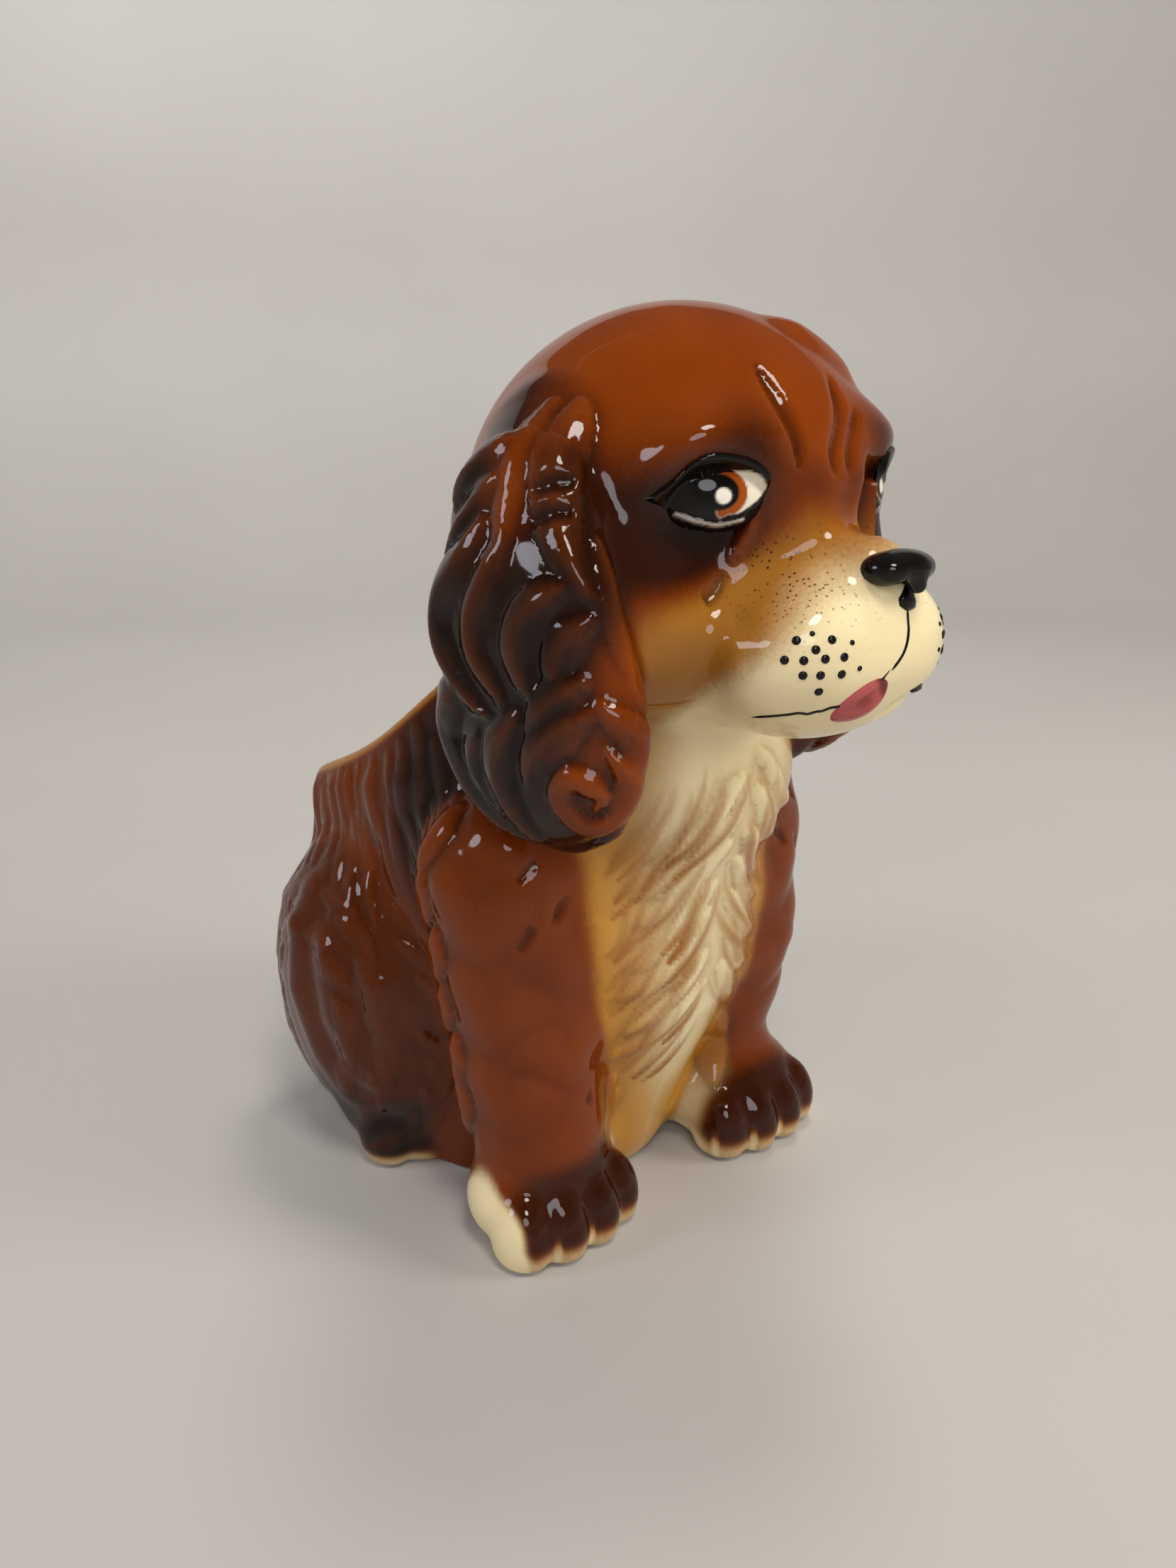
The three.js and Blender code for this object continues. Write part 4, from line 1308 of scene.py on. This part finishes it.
def glazedEarthenware():
    # slip cast clay, airbrushed and dipped in clear glaze: a deep wet gloss over soft clouds of brown
    material, tree = newMaterial("glazed_earthenware")
    place = addNode(tree, "ShaderNodeTexCoord").outputs["Object"]
    patterns = {}
    for name, detail in (("cloud", 3.0), ("spray", 1.0), ("ripple", 1.0)):
        settings = {"Scale": 1000 / glaze[name + "Mm"], "Detail": detail}
        patterns[name] = addNode(tree, "ShaderNodeTexNoise", settings, {"Vector": place}).outputs["Fac"]
    both = addNode(tree, "ShaderNodeMath", {"operation": "ADD"}, {0: patterns["cloud"], 1: patterns["spray"]})
    settings = {"operation": "MULTIPLY_ADD", 1: glaze["wander"], 2: -glaze["wander"]}
    wander = addNode(tree, "ShaderNodeMath", settings, {0: both.outputs[0]}).outputs[0]
    cells = addNode(tree, "ShaderNodeTexVoronoi", {"Scale": 1000 / glaze["freckleMm"]}, {"Vector": place})
    settings = {"From Min": 0.26, "From Max": 0.14}
    links = {"Value": cells.outputs["Distance"]}
    specks = addNode(tree, "ShaderNodeMapRange", settings, links).outputs["Result"]
    thin, thick = (hexLinear(colour) for colour in glaze["chestnut"])
    links = {0: patterns["cloud"]}
    colour = addNode(tree, "ShaderNodeMix", {"data_type": "RGBA", 6: thin, 7: thick}, links).outputs[2]
    for slip in ("tan", "cream", "honey", "stroke", "umber", "soot", "pool", "ridge", "freckle", "bare"):
        amount = addNode(tree, "ShaderNodeAttribute", {"attribute_name": slip}).outputs["Fac"]
        if slip in ("tan", "cream", "honey", "umber", "soot"):  # the airbrush's edge wanders where it fades
            left = addNode(tree, "ShaderNodeMath", {"operation": "SUBTRACT", 0: 1.0}, {1: amount}).outputs[0]
            links = {0: amount, 1: left}
            fading = addNode(tree, "ShaderNodeMath", {"operation": "MULTIPLY"}, links).outputs[0]
            links = {0: fading, 1: wander, 2: amount}
            moved = addNode(tree, "ShaderNodeMath", {"operation": "MULTIPLY_ADD"}, links).outputs[0]
            settings = {"interpolation_type": "SMOOTHSTEP", "From Min": 0.08, "From Max": 0.92}
            amount = addNode(tree, "ShaderNodeMapRange", settings, {"Value": moved}).outputs["Result"]
        if slip == "freckle":
            links = {0: amount, 1: specks}
            amount = addNode(tree, "ShaderNodeMath", {"operation": "MULTIPLY"}, links).outputs[0]
        settings = {"data_type": "RGBA", 7: hexLinear(glaze[slip])}
        colour = addNode(tree, "ShaderNodeMix", settings, {0: amount, 6: colour}).outputs[2]
    settings = {"Strength": glaze["ripple"], "Distance": 0.002}
    bumped = addNode(tree, "ShaderNodeBump", settings, {"Height": patterns["ripple"]}).outputs[0]
    links = {"Base Color": colour, "Normal": bumped, "Coat Normal": bumped}
    shader = addNode(tree, "ShaderNodeBsdfPrincipled", gloss, links)
    addNode(tree, "ShaderNodeOutputMaterial", {}, {"Surface": shader.outputs[0]})
    return material


clayMaterial = glazedEarthenware()
for label, name in enumerate(depths):
    clayPiece(name, label, clayMaterial)
print("clay sections made:", len(depths))


# Brushed enamel on the face: eyes, nose, tongue, mouth and whisker dots

enamelCloudMm = 4.0  # how far apart the enamel's thin and thick places lie


def brushedEnamel(name, ground, layers=None):
    # thick enamel put on with a fine brush under the clear glaze: hard edges, the deepest gloss of the piece
    material, tree = newMaterial(name)
    place = addNode(tree, "ShaderNodeTexCoord").outputs["Object"]
    settings = {"Scale": 1000 / enamelCloudMm, "Detail": 2.0}
    cloud = addNode(tree, "ShaderNodeTexNoise", settings, {"Vector": place}).outputs["Fac"]
    thin, thick = (hexLinear(colour) for colour in ground)
    colour = addNode(tree, "ShaderNodeMix", {"data_type": "RGBA", 6: thin, 7: thick}, {0: cloud}).outputs[2]
    for key, shade in (layers or {}).items():
        amount = addNode(tree, "ShaderNodeAttribute", {"attribute_name": key}).outputs["Fac"]
        settings = {"data_type": "RGBA", 7: hexLinear(shade)}
        colour = addNode(tree, "ShaderNodeMix", settings, {0: amount, 6: colour}).outputs[2]
    shader = addNode(tree, "ShaderNodeBsdfPrincipled", gloss, {"Base Color": colour})
    addNode(tree, "ShaderNodeOutputMaterial", {}, {"Surface": shader.outputs[0]})
    return material


blackEnamel = brushedEnamel("black_enamel_brushed", ("#0a0807", "#15110f"))


def exitPoint(form, start, direction):  # where a ray from inside the head last leaves a form
    t = np.linspace(0, 80, 1601)
    ray = np.array(start, float) + t[:, None] * np.array(direction, float) / np.linalg.norm(direction)
    return ray[np.where(form(fromHead(ray)) > 0)[0][-1]]


def enamelBody(name, node, form, middle, sizes, material, paint=None):
    at = fromHead(middle[None])[0]
    coords, quads = netted(form, at - sizes["reach"], at + sizes["reach"], sizes["step"])
    coords = settled(form, coords)
    polygons = [tuple(map(int, quad)) for quad in quads]
    piece = addMesh(name, coords, polygons, material, paint(coords) if paint else None)
    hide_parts(node)


nose = dict(
    ray=(0, -19.5, 14),
    pad=((0.4, 0.8, 0.3), (6.5, 5, 2.6)),
    wing=((3.8, 1, -0.4), (2.8, 4, 2.2)),
    tip=((0.7, -2, -0.7, 2.4), (1, -2.6, -2.5, 1.4)),  # the pad comes to a blunt point below
    fillet=1.5,
    reach=11,  # half of the box that holds it
    step=0.35,
)
noseMiddle = exitPoint(headForm, head["muzzle"][0], nose["ray"])


def noseForm(p):
    q = intoHead(p) - noseMiddle
    wings = [ellipsoid(q, mirrored(nose["wing"][0], side), nose["wing"][1]) for side in (-1, 1)]
    return fuse(nose["fillet"], ellipsoid(q, *nose["pad"]), *wings, limb(q, nose["tip"]))


enamelBody("nose_pad", "nose", noseForm, noseMiddle, nose, blackEnamel)

tongue = dict(
    ray=(-7, -15.5, -5),
    sunk=3.9,  # how far its middle lies behind the lip
    halves=(6.6, 5.5, 4.8),
    roll=math.radians(28),
    groove=((-2.5, 6, -0.2, 1.0), (5.5, 4.8, 0.4, 1.0)),
    fillet=1.0,
    reach=10,
    step=0.35,
)
tongueMiddle = exitPoint(headForm, head["muzzle"][0], tongue["ray"])
roseEnamel = brushedEnamel("rose_enamel_brushed", ("#bb625e", "#aa4f52"), dict(deep="#6a2126"))


def facing(axis, roll=0.0):  # two directions across an axis: level to the dog's left, and up, both rolled
    level = np.cross(axis, (0, 0, 1.0))
    level /= np.linalg.norm(level) * np.sign(level[0])
    up = np.array((0, 0, 1.0)) - axis * axis[2]
    up /= np.linalg.norm(up)
    c, s = math.cos(roll), math.sin(roll)
    return c * level + s * up, c * up - s * level


def onTongue(p):
    axis = np.array(tongue["ray"]) / np.linalg.norm(tongue["ray"])
    along, over = facing(axis, tongue["roll"])
    q = intoHead(p) - tongueMiddle + tongue["sunk"] * axis
    return np.stack([q @ along, q @ axis, q @ over], -1)


def tongueForm(p):
    q = onTongue(p)
    return carve(ellipsoid(q, (0, 0, 0), tongue["halves"]), limb(q, tongue["groove"]), tongue["fillet"])


def tonguePaint(p):
    along, _, over = onTongue(p).T
    deep = 0.6 * spot(along, over, 0.5, -0.2, 2.4, 1.3) + smoothstep(along, 2.8, 4.4)
    return dict(deep=np.clip(deep, 0, 1))


enamelBody("tongue_tip", "tongue", tongueForm, tongueMiddle, tongue, roseEnamel, tonguePaint)

eyes = dict(  # outlines drawn flat across the right eye: mm towards the nose and mm up from its middle
    halves=(10, 7, 8),
    bulge={-1: 3.6, 1: 2.2},
    tall=0.8,  # the drawing is pressed to this height, as the socket leans back
    step=0.3,
    low=(-13, -8.5),
    high=(10.5, 8.5),
    outline=(
        (-11.6, -1.2), (-8.6, 0.6), (-6.8, 2.3), (-4.8, 4.6), (-3.2, 5.9), (-0.8, 7), (3.3, 6.6), (5.6, 6),
        (7.3, 4.9), (8.5, 3.4), (8.7, 1.4), (8, -1.2), (6.6, -3.6), (4.6, -5.6), (2, -6.6), (0, -6.9),
        (-1.7, -6.6), (-3.9, -5.9), (-6, -4.7), (-7.6, -3.1), (-9.4, -2.1),
    ),
    white=(
        (0, 3.9), (3.3, 3.9), (5.4, 3.8), (6.8, 3.1), (7.6, 2.2), (8.1, 1), (7.1, -0.9), (5.5, -2.5),
        (3.9, -3.8), (2, -4.3), (0, -4.3),
    ),
    outerWhite=((-1, 3.2), (-3.4, 3), (-5.4, 1.4), (-7, -1), (-5.6, -2.8), (-3, -3.8), (-1, -4)),
    lidRidge=((-9.5, -0.9), (-7.4, 0.9), (-4.6, 3.9), (-2.5, 5.2), (0.5, 5.7), (4, 5.2), (6.8, 4), (8, 2.6)),
    lidRise=0.8,
    # the pale line along the lower lid is a painted highlight, the glare on the lid's ridge, laid over a
    # little pale enamel
    lowerLid=((-6.2, -4), (-3.8, -5.3), (-1.5, -6), (0, -6.3), (1.8, -6), (4.2, -5.2)),
    lowerRise=0.5,
    gaze={-1: 0, 1: 2.6},  # the puppy looks to its right: the left pupil moves towards the nose
    pupil=3.5,
    iris=4.9,
    glint=((0.95, -0.9), (1.25, 1.5)),
)
eyeEnamel = brushedEnamel(
    "eye_enamel_brushed",
    ("#0a0807", "#14100e"),
    # the pale grey along the lower lid is a painted highlight of the glare on its ridge, over a little pale
    # enamel
    dict(white="#e9e1cd", iris="#9c4a12", pupil="#0a0807", glint="#f2ecdc", lowerLid="#b5aba0"),
)


def eyeDirections(side):  # towards the nose, up, and out of the face
    axis = eyeAxis(side)
    level, up = facing(axis)
    return -side * level, up, axis


eyeSurface = {side: exitPoint(headForm, (0, 0, 0), eyeAxis(side)) for side in (-1, 1)}


def eyeForm(p, side):
    across, up, axis = eyeDirections(side)
    q = intoHead(p) - eyeSurface[side] - axis * (eyes["bulge"][side] - eyes["halves"][1])
    return ellipsoid(np.stack([q @ across, q @ axis, q @ up], -1), (0, 0, 0), eyes["halves"])


def within(points, outline):  # signed distance inside a closed outline
    ring = eased([*outline, outline[0]], 0.3)
    a, b = ring[:-1], ring[1:]
    away = points[:, None, :] - a[None]
    run = b - a
    t = np.clip((away * run).sum(2) / np.maximum((run**2).sum(1), 1e-9), 0, 1)
    gap = np.linalg.norm(away - t[..., None] * run, axis=2).min(1)
    y = points[:, 1][:, None]
    crossing = (a[:, 1] > y) != (b[:, 1] > y)
    rise = np.where(np.abs(run[:, 1]) < 1e-9, 1e-9, run[:, 1])
    at = a[:, 0] + (y - a[:, 1]) * run[:, 0] / rise
    inside = (crossing & (points[:, 0][:, None] < at)).sum(1) % 2 == 1
    return np.where(inside, gap, -gap)


def fromLine(points, line):
    return np.linalg.norm(points[:, None, :] - eased(line, 0.2)[None], axis=2).min(1)


def eyePiece(side, name):
    step = eyes["step"]
    axes = [np.arange(low, high, step) for low, high in zip(eyes["low"], eyes["high"])]
    u, v = (grid.reshape(-1) for grid in np.meshgrid(*axes, indexing="ij"))
    flat = np.stack([u, v], -1)
    across, up, axis = eyeDirections(side)
    start = eyeSurface[side] + u[:, None] * across + eyes["tall"] * v[:, None] * up + 14 * axis
    way = np.tile(fromHead(-axis[None]) - fromHead(np.zeros((1, 3))), (len(u), 1))
    coords = cast(fromHead(start), way, 28, lambda p: np.maximum(headForm(p), eyeForm(p, side)))
    edge = within(flat, eyes["outline"])
    lid = np.exp(-((fromLine(flat, eyes["lidRidge"]) / 1.1) ** 2))
    lower = np.exp(-((fromLine(flat, eyes["lowerLid"]) / 0.6) ** 2))
    shown = smoothstep(edge, -0.35, 0.35)
    lift = 0.7 * shown - 0.5 + (eyes["lidRise"] * lid + eyes["lowerRise"] * lower) * shown
    coords = coords - way * lift[:, None]
    toPupil = np.hypot(u - eyes["gaze"][side], v + 0.2)
    (glintU, glintV), (glintWide, glintHigh) = eyes["glint"]
    glint = np.hypot((u - eyes["gaze"][side] - glintU) / glintWide, (v - glintV) / glintHigh)
    white = within(flat, eyes["white"])
    if side > 0:
        white = np.maximum(white, within(flat, eyes["outerWhite"]))
    soft = 0.16
    values = dict(
        white=smoothstep(white, -soft, soft),
        iris=smoothstep(eyes["iris"] - toPupil, -soft, soft) * smoothstep(white, -soft, soft),
        pupil=smoothstep(eyes["pupil"] - toPupil, -soft, soft),
        glint=smoothstep(1 - glint, -soft, soft),
        # the lower lid's pale line: a painted highlight of the glare on its ridge, over a little pale enamel
        lowerLid=smoothstep(0.3 - fromLine(flat, eyes["lowerLid"]), -soft, soft),
    )
    wide = len(axes[1])
    cell = (np.arange(len(axes[0]) - 1)[:, None] * wide + np.arange(wide - 1)[None]).reshape(-1)
    quads = np.stack([cell, cell + wide, cell + wide + 1, cell + 1], -1)
    if np.cross(across, up) @ axis < 0:
        quads = quads[:, ::-1]
    quads = quads[(edge[quads] > -0.7).all(1)]
    used, coords, local, fans = closedPatch(quads, coords)
    polygons = [tuple(map(int, quad)) for quad in local] + fans
    amounts = {key: value[used] for key, value in values.items()}
    piece = addMesh(name + "_enamel", coords, polygons, eyeEnamel, amounts)
    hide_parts(name)


eyePiece(-1, "right_eye")
eyePiece(1, "left_eye")

faceLines = dict(  # brush lines on the face: degrees from straight ahead and mm above the head's middle
    mouth=((-27.5, -27.8), (-24, -26.4), (-18.5, -25.5), (-12.5, -24), (-8, -22), (-5, -19.5)),
    farMouth=((27.5, -27.8), (24, -26.6), (18.5, -26), (12.5, -25.5), (8, -25.2)),
    philtrum=((1.8, -10.5), (0.8, -14), (-1.2, -17), (-4.5, -19.6)),
    drop=((2.2, -5.5), (2.2, -8), (1.8, -11)),
    halfWidth=dict(mouth=0.42, farMouth=0.42, philtrum=0.45, drop=3.1),
    rise=dict(mouth=0.22, farMouth=0.22, philtrum=0.22, drop=1.2),
    swell=dict(  # shares of a line's length, and of its width there
        line=((0, 0.08, 0.92, 1), (0.35, 1, 1, 0.35)),
        drop=((0, 0.2, 0.7, 0.9, 1), (0.2, 0.45, 1, 0.85, 0.3)),
    ),
    dots=(
        (-23.5, -14.2), (-17.7, -14), (-20.8, -15.3), (-25.7, -17), (-22.5, -17), (-19, -16.8),
        (-15.7, -16.6), (-22.5, -19.2), (-19.7, -19.2), (-16, -19.2), (-19.6, -22),
    ),
    smallDots=((-21, -13), (-14, -14.5), (-12.5, -18.5)),
    dotRadius=0.72,
    smallDotRadius=0.45,
)


def brushLine(name):
    line = eased(onFace(eased(faceLines[name], 1.0)), 0.5)
    out = outward(headForm, line)
    across = np.cross(np.gradient(line, axis=0), out)
    across /= np.linalg.norm(across, axis=1)[:, None]
    t = np.linspace(0, 1, len(line))
    taper = np.interp(t, *faceLines["swell"].get(name, faceLines["swell"]["line"]))
    ring = []
    for s in (-1, -0.6, 0, 0.6, 1):
        row = settled(headForm, line + across * (s * faceLines["halfWidth"][name] * taper)[:, None])
        ring.append(row + out * (faceLines["rise"][name] * taper * (1 - s * s) - 0.15 * s * s)[:, None])
    ring.append(line - 0.6 * out)
    coords = np.stack(ring, 1).reshape(-1, 3)
    sides, count = len(ring), len(line)
    polygons = [tuple(range(sides)), tuple((count - 1) * sides + i for i in reversed(range(sides)))]
    for k in range(count - 1):
        for i in range(sides):
            j = (i + 1) % sides
            polygons.append((k * sides + j, k * sides + i, (k + 1) * sides + i, (k + 1) * sides + j))
    addMesh("enamel_" + name, coords, polygons, blackEnamel)


for name in faceLines["halfWidth"]:
    brushLine(name)


def whiskerDots(side, name):  # domed spots of enamel, one brush tip each
    places, radii = [], []
    for kind, radius in (("dots", "dotRadius"), ("smallDots", "smallDotRadius")):
        places += faceLines[kind]
        radii += [faceLines[radius]] * len(faceLines[kind])
    middles = onFace([(-side * turn, z) for turn, z in places])
    out = outward(headForm, middles)
    profile = ((1.05, -0.25), (1, 0.02), (0.72, 0.2), (0.35, 0.28))  # share of the radius, and mm of height
    sides, coords, polygons = 12, [], []
    for middle, normal, radius in zip(middles, out, radii):
        across = np.cross(normal, (0, 0, 1.0))
        across /= np.linalg.norm(across)
        up = np.cross(normal, across)
        first = len(coords)
        for share, height in profile:
            for i in range(sides):
                angle = 2 * math.pi * i / sides
                spoke = math.cos(angle) * across + math.sin(angle) * up
                coords.append(middle + radius * share * spoke + height * normal)
        for k in range(len(profile) - 1):
            for i in range(sides):
                j = (i + 1) % sides
                a, b = first + k * sides, first + (k + 1) * sides
                polygons.append((a + i, a + j, b + j, b + i))
        polygons.append(tuple(first + i for i in reversed(range(sides))))
        polygons.append(tuple(first + (len(profile) - 1) * sides + i for i in range(sides)))
    addMesh(name, np.array(coords), polygons, blackEnamel)


whiskerDots(-1, "right_whisker_dots")
whiskerDots(1, "left_whisker_dots")
print("face enamel made")


# Stage: pale floor with a rounded backdrop, soft light, camera at the photograph's viewing angle
stage = dict(radius=0.85, cove=0.35, rise=0.9, sides=96, board=("#b3b0ab", "#c0bdb9"), cloudMm=250.0)


def studioFloor():
    rings = [(stage["radius"] * t, 0.0) for t in np.linspace(0, 1, 9)[1:]]
    for angle in np.linspace(0, math.pi / 2, 10)[1:]:
        out, up = stage["cove"] * math.sin(angle), stage["cove"] * (1 - math.cos(angle))
        rings.append((stage["radius"] + out, up))
    rings.append((stage["radius"] + stage["cove"], stage["rise"]))
    sides, coords = stage["sides"], [(0, 0, 0)]
    for r, z in rings:
        for i in range(sides):
            angle = 2 * math.pi * i / sides
            coords.append((r * math.cos(angle), r * math.sin(angle), z))
    polygons = [(0, 1 + i, 1 + (i + 1) % sides) for i in range(sides)]
    for k in range(len(rings) - 1):
        for i in range(sides):
            a, b = 1 + k * sides, 1 + (k + 1) * sides
            j = (i + 1) % sides
            polygons.append((a + i, b + i, b + j, a + j))
    mesh = bpy.data.meshes.new("studio_floor")
    mesh.from_pydata(coords, [], polygons)
    mesh.polygons.foreach_set("use_smooth", np.ones(len(mesh.polygons), bool))
    # painted board: matt and even, with a faint cloud that keeps it from looking empty
    material, tree = newMaterial("painted_board_matt")
    place = addNode(tree, "ShaderNodeTexCoord").outputs["Object"]
    settings = {"Scale": 1000 / stage["cloudMm"], "Detail": 4.0}
    cloud = addNode(tree, "ShaderNodeTexNoise", settings, {"Vector": place}).outputs["Fac"]
    dark, light = (hexLinear(colour) for colour in stage["board"])
    colour = addNode(tree, "ShaderNodeMix", {"data_type": "RGBA", 6: dark, 7: light}, {0: cloud}).outputs[2]
    shader = addNode(tree, "ShaderNodeBsdfPrincipled", {"Roughness": 0.5}, {"Base Color": colour})
    addNode(tree, "ShaderNodeOutputMaterial", {}, {"Surface": shader.outputs[0]})
    mesh.materials.append(material)
    floor = bpy.data.objects.new("studio_floor", mesh)
    bpy.context.scene.collection.objects.link(floor)


studioFloor()

lights = dict(
    lamps=dict(  # place and aim in metres, width in metres, watts, colour
        window=((-0.75, 0.3, 0.55), (0, 0, 0.1), 0.28, 1.7, "#f4f4ff"),
        ceilingNear=((-0.18, -0.5, 1.05), (0, 0, 0.1), 0.3, 4.8, "#fffaf2"),
        ceilingFar=((0.3, 0.1, 1.15), (0, 0, 0.1), 0.3, 3.8, "#fffaf2"),
        front=((-0.55, -0.75, 0.7), (0, 0, 0.1), 0.42, 2.8, "#fbfaff"),
        side=((0.62, -0.72, 0.52), (0, 0, 0.08), 0.42, 4.6, "#fffaf4"),
        backdrop=((0.1, 0.5, 0.95), (0.65, 1.1, 0.45), 0.5, 4.2, "#ffffff"),
    ),
    fill=("side", "ceilingFar"),  # lamps that the glaze doesn't mirror
    worldColour="#dedcd9",
    worldStrength=0.14,
)
for name, (place, aim, wide, watts, colour) in lights["lamps"].items():
    lamp = bpy.data.lights.new(name, "AREA")
    lamp.shape = "DISK"
    lamp.size = wide
    lamp.energy = watts
    lamp.color = hexLinear(colour)[:3]
    holder = bpy.data.objects.new(name, lamp)
    holder.visible_glossy = name not in lights["fill"]
    holder.location = place
    holder.rotation_euler = (Vector(aim) - Vector(place)).to_track_quat("-Z", "Y").to_euler()
    bpy.context.scene.collection.objects.link(holder)

world = bpy.data.worlds.new("studio")
world.use_nodes = True
background = world.node_tree.nodes["Background"]
background.inputs["Color"].default_value = hexLinear(lights["worldColour"])
background.inputs["Strength"].default_value = lights["worldStrength"]
bpy.context.scene.world = world

camera = dict(  # fitted to the photograph: place in mm, degrees, focal length in its pixels
    place=(-153.4, -192.4, 168.0),
    tilt=72.0,
    yaw=-40.0,
    focalPixels=1603.7,
    imageHeight=2212,
    sensor=36.0,
)
lens = bpy.data.cameras.new("camera")
lens.sensor_fit = "AUTO"
lens.sensor_width = camera["sensor"]
lens.lens = camera["focalPixels"] / camera["imageHeight"] * camera["sensor"]
lens.clip_start = 0.01
viewer = bpy.data.objects.new("camera", lens)
viewer.location = toMetres(camera["place"])
viewer.rotation_euler = (math.radians(camera["tilt"]), 0, math.radians(camera["yaw"]))
bpy.context.scene.collection.objects.link(viewer)
bpy.context.scene.camera = viewer
bpy.context.scene.view_settings.view_transform = "Standard"
print("stage, lamps and camera set")
